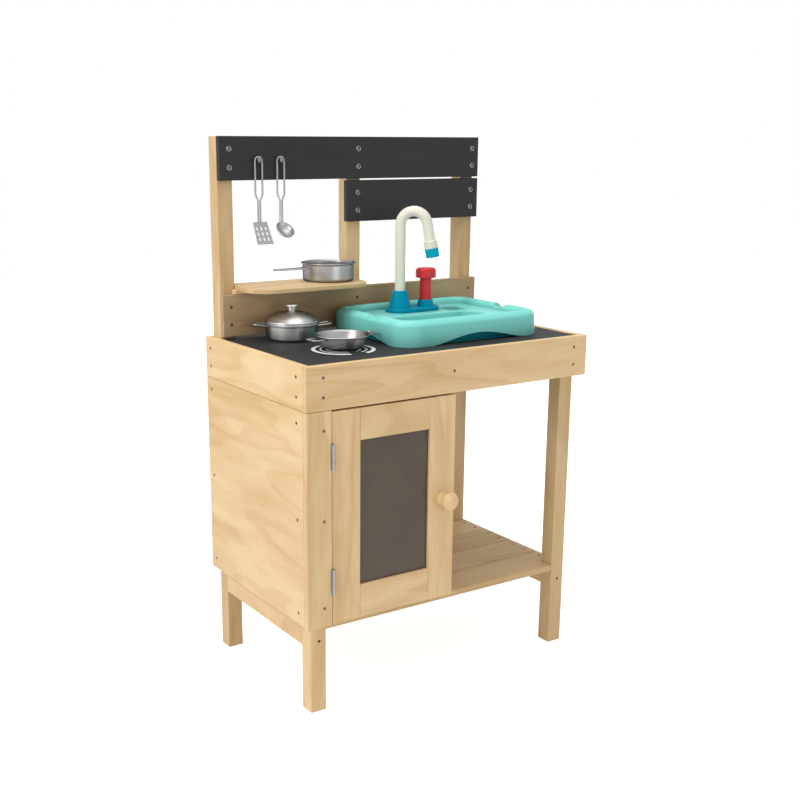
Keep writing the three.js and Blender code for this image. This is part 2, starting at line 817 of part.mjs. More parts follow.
// The rings of a bowl let down from the deck: a drafted wall with a round heel, and above it a mouth
// that opens in a quarter round when the bowl is a cutter.
function bowlRings(x, y, radius, draft, floor, grow, lip) {
  const fillet = Math.min(radius, (x[1] - x[0]) / 2, (y[1] - y[0]) / 2);
  const ring = (inset, z) => roundedRing(x, y, fillet, inset - grow, z, trayCornerSteps);
  const wallTop = lip > 0 ? deckTop - lip : deckTop - sinkWall / 2;
  const rings = [ring(draft * 2, floor - grow), ring(draft, floor - grow + draft), ring(0, wallTop)];
  if (lip > 0) {
    for (let i = 1; i <= lipSteps; i++) {
      const angle = (i / lipSteps) * (Math.PI / 2);
      rings.push(ring(lip * (Math.cos(angle) - 1), wallTop + lip * Math.sin(angle)));
    }
    rings.push(ring(-lip, deckTop + cutOverrun));
  }
  return rings;
}

// The notch across both end rims, steep at the back and gentle at the front.
function notchShape() {
  const crest = worktopTop + sinkRimHeight;
  const front = sinkFront + notchFromFront;
  const points = notchShares.map(([along, down]) => [front + notchWidth * along, crest - notchDepth * down]);
  points.push([front, crest + cutOverrun], [front + notchWidth, crest + cutOverrun]);
  return shapeOf(points);
}

// The block that closes the hollow rim under the notch.
function notchBacking() {
  const crest = worktopTop + sinkRimHeight;
  const front = sinkFront + notchFromFront - sinkWall;
  const back = front + notchWidth + sinkWall * 2;
  const bottom = crest - notchDepth - sinkWall;
  return shapeOf([
    [back, crest],
    [front, crest],
    [front, bottom],
    [back, bottom],
  ]);
}

// The sink tray: one moulded skin of even wall from the skirt's foot, over the rim, down to the deck,
// with a basin, a soap dish, arched feet and a finger notch in each end rim.
function addSinkTray() {
  const x = [sinkLeft, sinkRight];
  const y = [sinkFront, sinkBack];
  const top = sinkRimHeight;
  const crown = sinkRimHeight - sinkDeckHeight;
  const rise = sinkRimWidth - sinkSkirtDraft;
  const ring = (inset, height) =>
    roundedRing(x, y, sinkCornerRadius, inset, worktopTop + height, trayCornerSteps);
  const under = [
    ring(sinkRimWidth - sinkWall, sinkDeckHeight - sinkWall),
    ...rimUnderShares.map(([across, down]) =>
      ring(sinkSkirtDraft + rise * across, top - sinkWall - crown * down),
    ),
    ring(sinkSkirtDraft + sinkWall, top - sinkRimRound - sinkWall / 2),
    ring(sinkWall, 0),
  ];
  const over = [
    ring(0, 0),
    ...rimOverShares.map(([across, down]) =>
      ring(sinkSkirtDraft + rise * across, top - down * (across < rimCrestShare ? sinkRimRound : crown)),
    ),
  ];
  const backing = solidOf(loft(over)).intersect(solidOf(prism(notchBacking(), "x", sinkLeft, sinkRight)));
  const dishFloor = deckTop - dishDrop;
  const withBowls = joined(
    loft([...under, ...over]),
    geometryOf(backing),
    loft(bowlRings(basinX, basinY, basinRadius, basinDraft, basinFloor, sinkWall, 0)),
    loft(bowlRings(dishX, dishY, dishRadius, dishDraft, dishFloor, sinkWall, 0)),
  );

  const drains = Array.from({ length: drainCount + 1 }, (_, i) => {
    const angle = (i / drainCount) * Math.PI * 2;
    const reach = i === drainCount ? 0 : drainCircleRadius;
    const hole = rod(drainRadius, basinFloor - sinkWall - cutOverrun, basinFloor + cutOverrun, drainSegments);
    const drainX = (basinX[0] + basinX[1]) / 2 + reach * Math.cos(angle);
    return hole.translate(drainX, (basinY[0] + basinY[1]) / 2 + reach * Math.sin(angle), 0);
  });
  const throughDeck = (radius, px, py) =>
    rod(radius, deckTop - sinkWall - cutOverrun, deckTop + cutOverrun).translate(px, py, 0);
  const wallReach = sinkSkirtDraft + sinkWall + cutOverrun;
  const frontArchX = [sinkLeft + frontArchLeftMargin, sinkRight - frontArchRightMargin];
  const frontArch = archShape(frontArchX, frontArchHeight, true);
  const sideArch = archShape([sinkFront + sideArchMargin, sinkBack - sideArchMargin], sideArchHeight, false);
  const tray = cut(
    withBowls,
    loft(bowlRings(basinX, basinY, basinRadius, basinDraft, basinFloor, 0, basinLip)),
    loft(bowlRings(dishX, dishY, dishRadius, dishDraft, dishFloor, 0, dishLip)),
    ...drains,
    throughDeck(plungerRadius + slipGap * 2, pumpX, pumpY),
    throughDeck(spoutRadius / 2, tapX, tapY),
    prism(frontArch, "y", sinkFront - cutOverrun, sinkFront + wallReach),
    prism(sideArch, "x", sinkLeft - cutOverrun, sinkLeft + wallReach),
    prism(sideArch, "x", sinkRight - wallReach, sinkRight + cutOverrun),
    prism(notchShape(), "x", sinkLeft - cutOverrun, sinkRight + cutOverrun),
  );
  add("sink_tray", tray, aqua);
}

// The tub under the tray: it hangs in the worktop's cut-out by its flange and holds the water.
function addSinkTub() {
  const x = [sinkLeft + tubInset, sinkRight - tubInset];
  const y = [sinkFront + tubInset, sinkBack - tubInset + tubFlangeWidth];
  const ring = (inset, z) => roundedRing(x, y, tubCornerRadius, inset, z, cornerSteps - 1);
  const floor = worktopTop - tubDrop;
  const brim = deckTop - sinkWall - slipGap * 3;
  const flangeTop = worktopTop + tubFlangeThickness;
  const tub = loft([
    ring(tubDraft, floor),
    ring(0, worktopTop),
    ring(-tubFlangeWidth, worktopTop),
    ring(-tubFlangeWidth, flangeTop),
    ring(0, flangeTop),
    ring(0, brim),
    ring(tubWall, brim),
    ring(tubWall, worktopTop),
    ring(tubDraft + tubWall, floor + tubWall),
  ]);
  add("sink_tub", tub, deepTeal);
}

// The outline round two discs of unlike size whose centres lie along x.
function discPairOutline(bigRadius, smallRadius, spacing) {
  const angle = Math.acos((bigRadius - smallRadius) / spacing);
  const outline = new THREE.Shape();
  outline.absarc(0, 0, bigRadius, angle, Math.PI * 2 - angle);
  outline.absarc(spacing, 0, smallRadius, -angle, angle);
  outline.closePath();
  return outline;
}

// The tap's base, its swivelling spout with a nozzle, and the push pump with its cylinder and spring
function addTapAndPump() {
  const outline = discPairOutline(tapPlateRadius, pumpPlateRadius, tapToPump);
  const plate = new THREE.ExtrudeGeometry(outline, {
    depth: tapPlateThickness - tapPlateBevel * 2,
    bevelThickness: tapPlateBevel,
    bevelSize: tapPlateBevel,
    bevelOffset: -tapPlateBevel,
    bevelSegments: 1,
    curveSegments: cornerSteps * 2,
  });
  plate.translate(0, 0, tapPlateBevel);
  const seat = tapPlateThickness - easedEdge;
  const coneTop = tapPlateThickness + tapConeHeight;
  const cone = turned([
    [0, seat],
    [tapConeBottomRadius, seat],
    [tapConeBottomRadius, tapPlateThickness + easedEdge],
    [tapConeTopRadius, coneTop],
    [0, coneTop],
  ]);
  const collarTop = tapPlateThickness + pumpCollarHeight;
  const bore = rod(plungerRadius + slipGap, -cutOverrun, collarTop + cutOverrun, latheSegments);
  const collar = turned([
    [0, seat],
    [pumpCollarBottomRadius, seat],
    [pumpCollarTopRadius, collarTop],
    [0, collarTop],
  ]).translate(tapToPump, 0, 0);
  const socketRadius = spoutRadius + slipGap;
  const base = cut(
    joined(plate, cone, collar),
    rod(socketRadius, coneTop - tapSocketDepth, coneTop + cutOverrun, latheSegments),
    rod(spoutRadius / 2, -cutOverrun, coneTop),
    bore.translate(tapToPump, 0, 0),
  );
  const baseGroup = groupAt(tapX, tapY, deckTop);
  add("tap_base", base, blue, baseGroup);

  // The spout is made along its own x and then turned to where it points.
  const foot = coneTop - tapSocketDepth + slipGap;
  const spring = coneTop + spoutRise - spoutBendRadius;
  const lean = radians(spoutLean);
  const arcSteps = 12;
  const arc = Array.from({ length: arcSteps + 1 }, (_, i) => {
    const angle = Math.PI - (i / arcSteps) * (Math.PI - lean);
    const reach = spoutBendRadius + spoutBendRadius * Math.cos(angle);
    return new THREE.Vector3(reach, 0, spring + spoutBendRadius * Math.sin(angle));
  });
  const heading = new THREE.Vector3(Math.sin(lean), 0, -Math.cos(lean));
  const arcEnd = arc[arc.length - 1];
  const tubeEnd = arcEnd.clone().addScaledVector(heading, spoutEndRun + easedEdge);
  const pipe = wire([new THREE.Vector3(0, 0, foot), ...arc, tubeEnd], spoutRadius, latheSegments / 2);
  const along = (geometry, distance) => {
    geometry.rotateX(Math.PI);
    geometry.rotateY(-lean);
    const start = arcEnd.clone().addScaledVector(heading, distance);
    return geometry.translate(start.x, start.y, start.z);
  };
  const bevel = tapPlateBevel;
  const collarLength = spoutCollarLength;
  const endCollar = turned([
    [0, 0],
    [spoutCollarRadius - bevel, 0],
    [spoutCollarRadius, bevel],
    [spoutCollarRadius, collarLength],
    [spigotRadius, collarLength],
    [spigotRadius, collarLength + spigotLength],
    [0, collarLength + spigotLength],
  ]);
  const spoutGroup = groupAt(tapX, tapY, deckTop, spoutHeading);
  add("tap_spout", joined(pipe, along(endCollar, spoutEndRun)), white, spoutGroup);
  const nozzle = turned([
    [nozzleBoreRadius, 0],
    [nozzleRadius, 0],
    [nozzleRadius, nozzleLength - bevel],
    [nozzleRadius - bevel, nozzleLength],
    [nozzleBoreRadius, nozzleLength],
    [nozzleBoreRadius, 0],
  ]);
  const nozzleStart = spoutEndRun + collarLength + slipGap;
  add("tap_nozzle", along(nozzle, nozzleStart), blue, spoutGroup);

  const pumpGroup = groupAt(pumpX, pumpY, deckTop);
  const capBottom = collarTop + plungerStroke + pumpCapClearance;
  const capTop = capBottom + pumpCapHeight;
  const plungerBottom = -plungerGuideLength;
  const plunger = turned([
    [0, plungerBottom],
    [plungerRadius - easedEdge, plungerBottom],
    [plungerRadius, plungerBottom + easedEdge],
    [plungerRadius, capBottom],
    [pumpCapRadius - pumpCapRound / 2, capBottom],
    [pumpCapRadius, capBottom + pumpCapRound / 2],
    [pumpCapRadius, capTop - pumpCapRound],
    [pumpCapRadius - pumpCapRound / 3, capTop - pumpCapRound / 3],
    [pumpCapRadius - pumpCapRound, capTop],
    [0, capTop],
  ]);
  add("pump_plunger", plunger, red, pumpGroup);

  const cylinderTop = -sinkWall;
  const cylinderBottom = cylinderTop - plungerStroke - cylinderReserve;
  const boreRadius = plungerRadius + slipGap * 2;
  const cylinder = turned([
    [cylinderInletRadius, cylinderBottom],
    [boreRadius + cylinderWall, cylinderBottom],
    [boreRadius + cylinderWall, cylinderTop],
    [boreRadius, cylinderTop],
    [boreRadius, cylinderBottom + cylinderWall],
    [cylinderInletRadius, cylinderBottom + cylinderWall],
    [cylinderInletRadius, cylinderBottom],
  ]);
  add("pump_cylinder", cylinder, white, pumpGroup);

  const springBottom = cylinderBottom + cylinderWall + springWireRadius + slipGap;
  const springTop = plungerBottom - springWireRadius - slipGap;
  const stepsPerTurn = 8;
  const coil = Array.from({ length: springTurns * stepsPerTurn + 1 }, (_, i) => {
    const angle = (i / stepsPerTurn) * Math.PI * 2;
    const z = springBottom + (springTop - springBottom) * (i / (springTurns * stepsPerTurn));
    return new THREE.Vector3(springCoilRadius * Math.cos(angle), springCoilRadius * Math.sin(angle), z);
  });
  add("pump_spring", wire(coil, springWireRadius, wireSides - 1), steel, pumpGroup);
}

// A spun steel pan with a thin wall, a round heel and a rolled rim, standing on z = 0
function panShell({ base, neck, rim, height, heel }) {
  const rimFoot = height - rimRoll * 2;
  const neckHeight = rimFoot - panLipRise;
  const heelArc = (radius) => {
    const centre = base - heel;
    return Array.from({ length: cornerSteps - 1 }, (_, i) => {
      const angle = -Math.PI / 2 + (i / (cornerSteps - 2)) * (Math.PI / 2);
      return [centre + radius * Math.cos(angle), heel + radius * Math.sin(angle)];
    });
  };
  return turned([
    [0, 0],
    ...heelArc(heel),
    [neck, neckHeight],
    [rim - rimRoll, rimFoot],
    [rim, rimFoot],
    [rim, height - rimRoll],
    [rim - rimRoll, height],
    [rim - rimRoll - panWall, height - rimRoll],
    [neck - panWall, neckHeight],
    ...heelArc(heel - panWall).reverse(),
    [0, panWall],
  ]);
}

// The space that a pan fills below its rim, with clearance, to trim the feet of its handles with.
function panSpace({ base, neck, rim, height, heel }) {
  const bottom = -cutOverrun;
  const rimFoot = height - rimRoll * 2;
  return turned([
    [0, bottom],
    [base + slipGap, bottom],
    [base + slipGap, heel],
    [neck + slipGap, rimFoot - panLipRise],
    [rim - rimRoll + slipGap, rimFoot],
    [rim + slipGap, rimFoot],
    [rim + slipGap, height],
    [0, height],
  ]);
}

// A bent wire loop that springs from a pan's wall along x and returns to it.
function loopHandle(pan, reach, widths, drop, lift) {
  const [footHalf, tipHalf] = widths.map((span) => span / 2 - handleWireRadius);
  const z = pan.height - rimRoll * 2 - handleWireRadius - drop;
  const foot = pan.base - footHalf / 2;
  const end = pan.rim + reach - handleWireRadius;
  const corners = [
    new THREE.Vector3(foot, -footHalf, z),
    new THREE.Vector3(end, -tipHalf, z + lift),
    new THREE.Vector3(end, tipHalf, z + lift),
    new THREE.Vector3(foot, footHalf, z),
  ];
  return cut(wire(bentPoints(corners, handleBend), handleWireRadius), panSpace(pan));
}

// The saucepan with its long wire handle, on the shelf
function addSaucepan() {
  const group = groupAt(saucepanX, saucepanY, shelfTop, 180);
  const pan = {
    base: saucepanBaseRadius,
    neck: saucepanNeckRadius,
    rim: saucepanRimRadius,
    height: saucepanHeight,
    heel: panHeel,
  };
  add("saucepan_pan", panShell(pan), steel, group);
  const widths = [saucepanHandleWidth, saucepanHandleTipWidth];
  const handle = loopHandle(pan, saucepanHandleReach, widths, saucepanHandleDrop, 0);
  add("saucepan_handle", handle, steel, group);
}

// The pot with two loop handles and a domed lid, at the back of the hob
function addPot() {
  const group = groupAt(potX, potY, worktopTop, potHandleTurn);
  const pan = {
    base: potBaseRadius,
    neck: potNeckRadius,
    rim: potRimRadius,
    height: potHeight,
    heel: panHeel,
  };
  add("pot_pan", panShell(pan), steel, group);
  const widths = [potHandleWidth, potHandleWidth];
  const right = loopHandle(pan, potHandleReach, widths, slipGap, potHandleLift);
  add("pot_handle_right", right, steel, group);
  add("pot_handle_left", right.clone().rotateZ(Math.PI), steel, group);

  const lidGroup = groupAt(potX, potY, worktopTop + potHeight);
  const plug = potRimRadius - rimRoll - panWall * 2;
  const seat = lidKnobRadius * lidKnobFootShare;
  const dome = (radius, height) => {
    const domeSteps = 5;
    return Array.from({ length: domeSteps + 1 }, (_, i) => {
      const share = 1 - i / domeSteps;
      return [seat + (radius - seat) * share, lidEdge + height * (1 - share ** lidFullness)];
    });
  };
  const domeRadius = lidRadius - lidFlange;
  const lid = turned([
    [plug - panWall, -lidSkirt],
    [plug, -lidSkirt],
    [plug, 0],
    [lidRadius, 0],
    [lidRadius, lidEdge],
    ...dome(domeRadius, lidDome),
    [0, lidEdge + lidDome],
    [0, lidEdge + lidDome - panWall],
    ...dome(domeRadius - panWall * 2, lidDome - panWall).reverse(),
    [plug - panWall, 0],
    [plug - panWall, -lidSkirt],
  ]);
  add("pot_lid", lid, steel, lidGroup);
  const knobFoot = lidEdge + lidDome;
  const knob = turned(
    lidKnobShares.map(([out, up]) => [lidKnobRadius * out, knobFoot + lidKnobHeight * up]),
    smallSegments + 2,
  );
  add("pot_lid_knob", knob, steel, lidGroup);
}

// The shallow pan with two loop handles, on the front ring
function addSkillet() {
  const group = groupAt(skilletX, skilletY, worktopTop, skilletHandleTurn);
  const pan = {
    base: skilletBaseRadius,
    neck: skilletNeckRadius,
    rim: skilletRimRadius,
    height: skilletHeight,
    heel: skilletHeel,
  };
  add("skillet_pan", panShell(pan), steel, group);
  const widths = [skilletHandleWidth, skilletHandleWidth];
  const right = loopHandle(pan, skilletHandleReach, widths, handleDrop, skilletHandleLift);
  add("skillet_handle_right", right, steel, group);
  add("skillet_handle_left", right.clone().rotateZ(Math.PI), steel, group);
}

// A turned hook that screws into the header board, with a head that keeps a loop on it
function addHooks() {
  const headStart = hookLength - hookHeadLength;
  ["left", "right"].forEach((side, i) => {
    const hook = turned(
      [
        [0, 0],
        [hookHeadRadius, 0],
        [hookHeadRadius, easedEdge],
        [hookRadius, easedEdge * 2],
        [hookRadius, headStart],
        [hookHeadRadius, headStart + easedEdge / 2],
        [hookHeadRadius, hookLength - easedEdge],
        [hookHeadRadius - easedEdge, hookLength],
        [0, hookLength],
      ],
      smallSegments,
    ).rotateX(Math.PI / 2);
    add(`hook_${side}`, hook.translate(hookX + i * hookSpacing, boardFront, hookHeight), steel);
  });
}

// The doubled wire of a utensil, hung by its loop from z = 0 and running down to its neck's end
function utensilWire() {
  const loopHalf = utensilLoopWidth / 2;
  const neckHalf = utensilNeckWidth / 2;
  const crown = hookRadius + slipGap + utensilWireRadius;
  const shoulder = crown - utensilLoopLength;
  const neck = shoulder - utensilNeckLength;
  const foot = neck - utensilShaftLength;
  const place = (x, z) => new THREE.Vector3(x, 0, z);
  const crownSteps = 8;
  const crownPoints = Array.from({ length: crownSteps + 1 }, (_, i) => {
    const angle = Math.PI - (i / crownSteps) * Math.PI;
    return place(loopHalf * Math.cos(angle), crown - loopHalf + loopHalf * Math.sin(angle));
  });
  const points = [
    place(-neckHalf, foot),
    place(-neckHalf, neck),
    place(-loopHalf, shoulder),
    ...crownPoints,
    place(loopHalf, shoulder),
    place(neckHalf, neck),
    place(neckHalf, foot),
  ];
  return { geometry: wire(points, utensilWireRadius), foot };
}

// The spatula: a slotted blade that leans forward under the wire handle
function addSpatula() {
  const handle = utensilWire();
  const half = bladeWidth / 2;
  const topTaper = easedEdge * 3;
  const outline = shapeOf([
    [-half, -bladeLength],
    [half, -bladeLength],
    [half - topTaper / 2, 0],
    [topTaper - half, 0],
  ]);
  const slotDepth = [-bladeThickness - cutOverrun, bladeThickness + cutOverrun];
  const slots = slotRowShares.flatMap((row) =>
    slotColumnShares.map((column) => {
      const slotMiddle = [bladeWidth * column, -bladeLength * row];
      const slotX = [slotMiddle[0] - bladeSlotWidth / 2, slotMiddle[0] + bladeSlotWidth / 2];
      const slotY = [slotMiddle[1] - bladeSlotLength / 2, slotMiddle[1] + bladeSlotLength / 2];
      return block(slotX, slotY, slotDepth);
    }),
  );
  const blade = cut(prism(outline, "z", -bladeThickness / 2, bladeThickness / 2), ...slots);
  blade.rotateX(Math.PI / 2 - radians(bladeLean));
  blade.translate(0, 0, handle.foot + utensilWireRadius);
  const group = groupAt(hookX, boardFront - utensilFromBoard, hookHeight);
  add("spatula", joined(handle.geometry, blade), steel, group);
}

// The spoon: an oval bowl that leans forward under the wire handle
function addSpoon() {
  const handle = utensilWire();
  const bowlSegments = 20;
  const bowlRings = 4;
  const cap = (grow) => {
    const profile = Array.from({ length: bowlRings + 1 }, (_, i) => {
      const angle = (i / bowlRings) * (Math.PI / 2);
      return [Math.sin(angle) * (1 + grow / (bowlWidth / 2)), -Math.cos(angle) * (bowlDepth + grow)];
    });
    profile[0][0] = 0;
    return profile;
  };
  const shell = turned([...cap(0), ...cap(-bowlWall).reverse()], bowlSegments);
  shell.scale(bowlWidth / 2, bowlLength / 2, 1);
  shell.rotateX(Math.PI / 2 - radians(bowlLean));
  const reach = bowlLength / 2 - utensilWireRadius;
  const lean = radians(bowlLean);
  shell.translate(0, -reach * Math.sin(lean), handle.foot - reach * Math.cos(lean));
  const group = groupAt(hookX + hookSpacing, boardFront - utensilFromBoard, hookHeight);
  add("spoon", joined(handle.geometry, shell), steel, group);
}

addCounterFrame();
addCupboard();
addWorktop();
addBackBoards();
addDoor();
addSinkTray();
addSinkTub();
addTapAndPump();
addSaucepan();
addPot();
addSkillet();
addHooks();
addSpatula();
addSpoon();

// The origin is at the middle of the footprint, on the floor.
const kitchen = new THREE.Group();
root.position.set(-width / 2, (knobLength - depth) / 2, 0);
kitchen.add(root);

export default kitchen;
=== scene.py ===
import json
import math

import bmesh
import bpy
from mathutils import Matrix, Vector


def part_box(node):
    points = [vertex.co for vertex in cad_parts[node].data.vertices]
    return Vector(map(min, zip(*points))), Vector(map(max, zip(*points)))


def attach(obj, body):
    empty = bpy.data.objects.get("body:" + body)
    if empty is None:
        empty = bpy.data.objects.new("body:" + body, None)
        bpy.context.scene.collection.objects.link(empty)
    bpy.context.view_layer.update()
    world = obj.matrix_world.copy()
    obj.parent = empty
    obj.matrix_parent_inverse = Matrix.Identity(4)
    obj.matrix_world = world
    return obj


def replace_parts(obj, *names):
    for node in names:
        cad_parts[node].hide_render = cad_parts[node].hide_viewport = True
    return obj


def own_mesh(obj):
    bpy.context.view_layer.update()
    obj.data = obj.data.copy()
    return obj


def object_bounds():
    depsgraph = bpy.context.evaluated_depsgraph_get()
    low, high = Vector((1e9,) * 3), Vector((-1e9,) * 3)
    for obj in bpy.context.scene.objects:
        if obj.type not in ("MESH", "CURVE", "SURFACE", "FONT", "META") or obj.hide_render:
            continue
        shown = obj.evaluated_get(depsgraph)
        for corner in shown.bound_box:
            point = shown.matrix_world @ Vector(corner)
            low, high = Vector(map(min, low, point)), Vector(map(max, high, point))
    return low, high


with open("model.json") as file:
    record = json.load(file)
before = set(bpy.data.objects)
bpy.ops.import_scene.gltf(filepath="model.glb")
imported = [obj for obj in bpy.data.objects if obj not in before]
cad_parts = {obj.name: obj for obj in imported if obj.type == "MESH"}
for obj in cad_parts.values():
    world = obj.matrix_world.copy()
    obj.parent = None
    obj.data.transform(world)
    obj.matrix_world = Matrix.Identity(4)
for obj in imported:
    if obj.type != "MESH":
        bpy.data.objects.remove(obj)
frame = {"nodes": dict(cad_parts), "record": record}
frame_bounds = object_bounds()

# Camera, solved from the straight edges of the kitchen
CAMERA_PLACE = (-1.217447, -1.732035, 0.971781)
CAMERA_TILT = -13.8815
CAMERA_HEADING = -32.337
CAMERA_LENS = 50.93
CAMERA_SHIFT = (0.06536, 0.03364)

# Stage
FLOOR_SIZE = 14.0
FLOOR_SQUARES = 8
FLOOR_DROP = 0.0004
FLOOR_GREY = 0.8
FLOOR_ROUGHNESS = 0.9
FLOOR_GLOW = 0.74
WORLD_LIGHT = 0.605

# Lights: the place of each disk, the point that it faces, its size, its power in watts and its colour
LIGHTS = {
    "key_left": {
        "place": (-2.85, -0.3, 2.25),
        "target": (0, 0, 0.4),
        "size": 1.4,
        "power": 42,
        "colour": (1.0, 0.985, 0.96),
    },
    "front": {
        "place": (0.2, -3.3, 0.6),
        "target": (0, 0, 0.4),
        "size": 1.8,
        "power": 11.5,
        "colour": (1.0, 0.99, 0.97),
    },
    "top": {
        "place": (-0.35, 0.1, 3.2),
        "target": (0, 0, 0.5),
        "size": 2.6,
        "power": 36,
        "colour": (1.0, 1.0, 1.0),
    },
}

# Edges and shading, in metres and degrees
WOOD_EDGE = 0.0009
PAINT_EDGE = 0.0011
DOOR_EDGE = 0.00025
STEEL_EDGE = 0.0003
PLASTIC_EDGE = 0.0008
BEVEL_ANGLE = 35
BEVEL_SEGMENTS = 2
SMOOTH_ANGLE = 38
PAN_SMOOTH_ANGLE = 50
FLAT_ANGLE = 0.4
FLAT_FACE_WEIGHT = 90
WELD_DISTANCE = 0.00001

# Seams over the boards and the gap at the door's hinges
SEAM = 0.0005
DOOR_SEAM = 0.0011
DOOR_GAP_TAKEN = 0.0007

# How far a recess reaches for its painted shade
PAINTED_SHADE_REACH = 0.05
SCREW_PAINTED_SHADE_REACH = 0.0014

# Wood screws: small heads sunk in the pine
PINE_HEAD_RADIUS = 0.0028
PINE_HOLE_RADIUS = 0.0031
PINE_HEAD_SINK = 0.0004

# Bright screws with cup washers on the black boards
CUP_RADIUS = 0.0049
CUP_HOLE_RADIUS = 0.0039
CUP_HEIGHT = 0.0010
CUP_DEPTH_SHARE = 0.5
CUP_STEPS = 8
CUP_HEAD_RADIUS = 0.0037

# Both kinds. Each screw is turned a little further than the one before
HOLE_DEPTH = 0.0016
RECESS_WIDTH_SHARE = 0.4
RECESS_LENGTH_SHARE = 1.25
RECESS_DEPTH = 0.0009
HEAD_CROWN_SHARE = 0.16
HEAD_TOP_SHARE = 0.97
HEAD_FOOT_SHARE = 0.6
HEAD_DEPTH_SHARE = 0.8
HEAD_STEPS = 6
HEAD_SEGMENTS = 24
SCREW_TURN = 37

# Round pieces. The rim of each pan comes from its CAD node
ROUND_SEGMENTS = 96
CURVE_STEPS = 10
WALL = 0.0009
BEAD_RADIUS = 0.0011
LIP_RISE = 0.003
PAN_SIZES = {
    "saucepan_pan": {"base": 0.0494, "neck": 0.0498, "heel": 0.006},
    "pot_pan": {"base": 0.0485, "neck": 0.0486, "heel": 0.006},
    "skillet_pan": {"base": 0.041, "neck": 0.0465, "heel": 0.011},
}
PAN_FINISHES = {
    "saucepan_pan": {"light": 0.39, "gloss": 0.3},
    "pot_pan": {"light": 0.47, "gloss": 0.32},
    "skillet_pan": {"light": 0.44, "gloss": 0.36},
}

# The lid: a bead and a ring stand round the foot of its dome, with a groove between them
LID_FINISH = {"light": 0.72, "gloss": 0.38}
LID_EDGE = 0.0066
LID_RING = 0.0018
LID_GROOVE = 0.0016
LID_BEAD_END = 80
LID_RING_START = -80
LID_RING_END = 75
LID_SEAT = 0.0068
LID_FULLNESS = 2.6
LID_STEPS = 20

# The lid's knob, in shares of its CAD node's radius and height, and its edges in metres
KNOB_FOOT = 0.6
KNOB_NECK = 0.82
KNOB_NECK_LEVEL = 0.6
KNOB_EDGE = 0.0021

# The pump's plunger
PLUNGER_RADIUS = 0.0117
PUMP_CAP_HEIGHT = 0.0195
PUMP_CAP_ROUND = 0.007
PUMP_EDGE = 0.0012

# Hob rings printed on the worktop, with places from the kitchen's front left foot
RING_CENTRE_PAN = (0.148, 0.121)
RING_RADIUS_PAN = 0.0575
RING_CENTRE_POT = (0.148, 0.266)
RING_RADIUS_POT = 0.0460
RING_BAND_SHARES = ((0.87, 1.0), (0.69, 0.745), (0.50, 0.545))
RING_INK = 0.00012
RING_STEP = 3
RING_GAP = 17.5

LEFT_OF_ROW = frame_bounds[0][0]
FRONT_OF_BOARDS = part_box("apron_front")[0][1]

# Textures of the wood: scales along and across the grain, and how each is broken up
FIGURE = {"along": 1.5, "across": 9, "detail": 2.5, "distortion": 0.35}
FIBRE = {"along": 14, "across": 620, "detail": 2.0}
STREAK = {"along": 9, "across": 150, "detail": 3.0, "distortion": 0.8}
PATCH = {"along": 2.6, "across": 13, "detail": 3.0, "distortion": 1.3}
BAND_COUNT = 6.0
LINE_COUNT = 24.0
PIECE_SPREAD = (3.1, 4.3, 2.7)

# Where the two tones of a texture begin and end
PATCH_PLACES = (0.38, 0.60)
CLOUD_PLACES = (0.3, 0.7)
MARK_PLACES = (0.3, 0.6)
WEAR_PLACES = (0.28, 0.5)
# Ambient occlusion values where the painted shade in recesses is darkest and where it ends
PAINTED_SHADE_PLACES = (0.4, 0.92)

# Stops of the wood's ramps: places and the colours that are multiplied onto its tones
WHITE = (1.0, 1.0, 1.0)
BAND_STOPS = [(0.0, WHITE), (0.09, (0.905, 0.85, 0.785)), (0.6, WHITE)]
LINE_STOPS = [(0.55, WHITE), (0.9, (0.98, 0.965, 0.94)), (1.0, WHITE)]
STREAK_STOPS = [(0.24, (0.94, 0.90, 0.84)), (0.34, WHITE)]
FIBRE_STOPS = [(0.30, (0.975, 0.96, 0.94)), (0.56, WHITE)]
PIECE_STOPS = [(0.0, (0.955, 0.945, 0.93)), (1.0, WHITE)]
PAINT_SHARES = [(0.3, 0.9), (0.7, 1.08)]
PAINT_FIBRE_DARK = 0.9
WORN_PAINT_STOPS = [(0.30, (1.12, 1.12, 1.12)), (0.38, WHITE)]
PINE_SHINE = 0.35

# Steel
STEEL_EDGE_TINT = (0.25, 0.25, 0.25)
LATHE_MARKS = 0.6
QUARTER_TURN = 0.25
CIRCLE_SCALE = 260.0
CIRCLE_DISTORTION = 1.2
SMEAR_SCALES = (9, 9, 60)
DRAWN_MARKS = {"along": 60, "across": 900, "detail": 1.0}
SMEAR_DARK = 0.82
CLOUD_DARK = 0.9
MARK_DARK = 0.94

# Smoked acrylic: its tones, the tint of what shows through it, and how much it covers
SMOKE_LIGHT = (0.128, 0.1, 0.073)
SMOKE_DARK = (0.108, 0.083, 0.059)
SMOKE_CLEAR = (0.5, 0.42, 0.36)
SMOKE_COVER = 0.84
SMOKE_SHINE = 0.3

# Printed ink, worn and whole
INK_WORN = 0.6
INK_WHOLE = 0.86

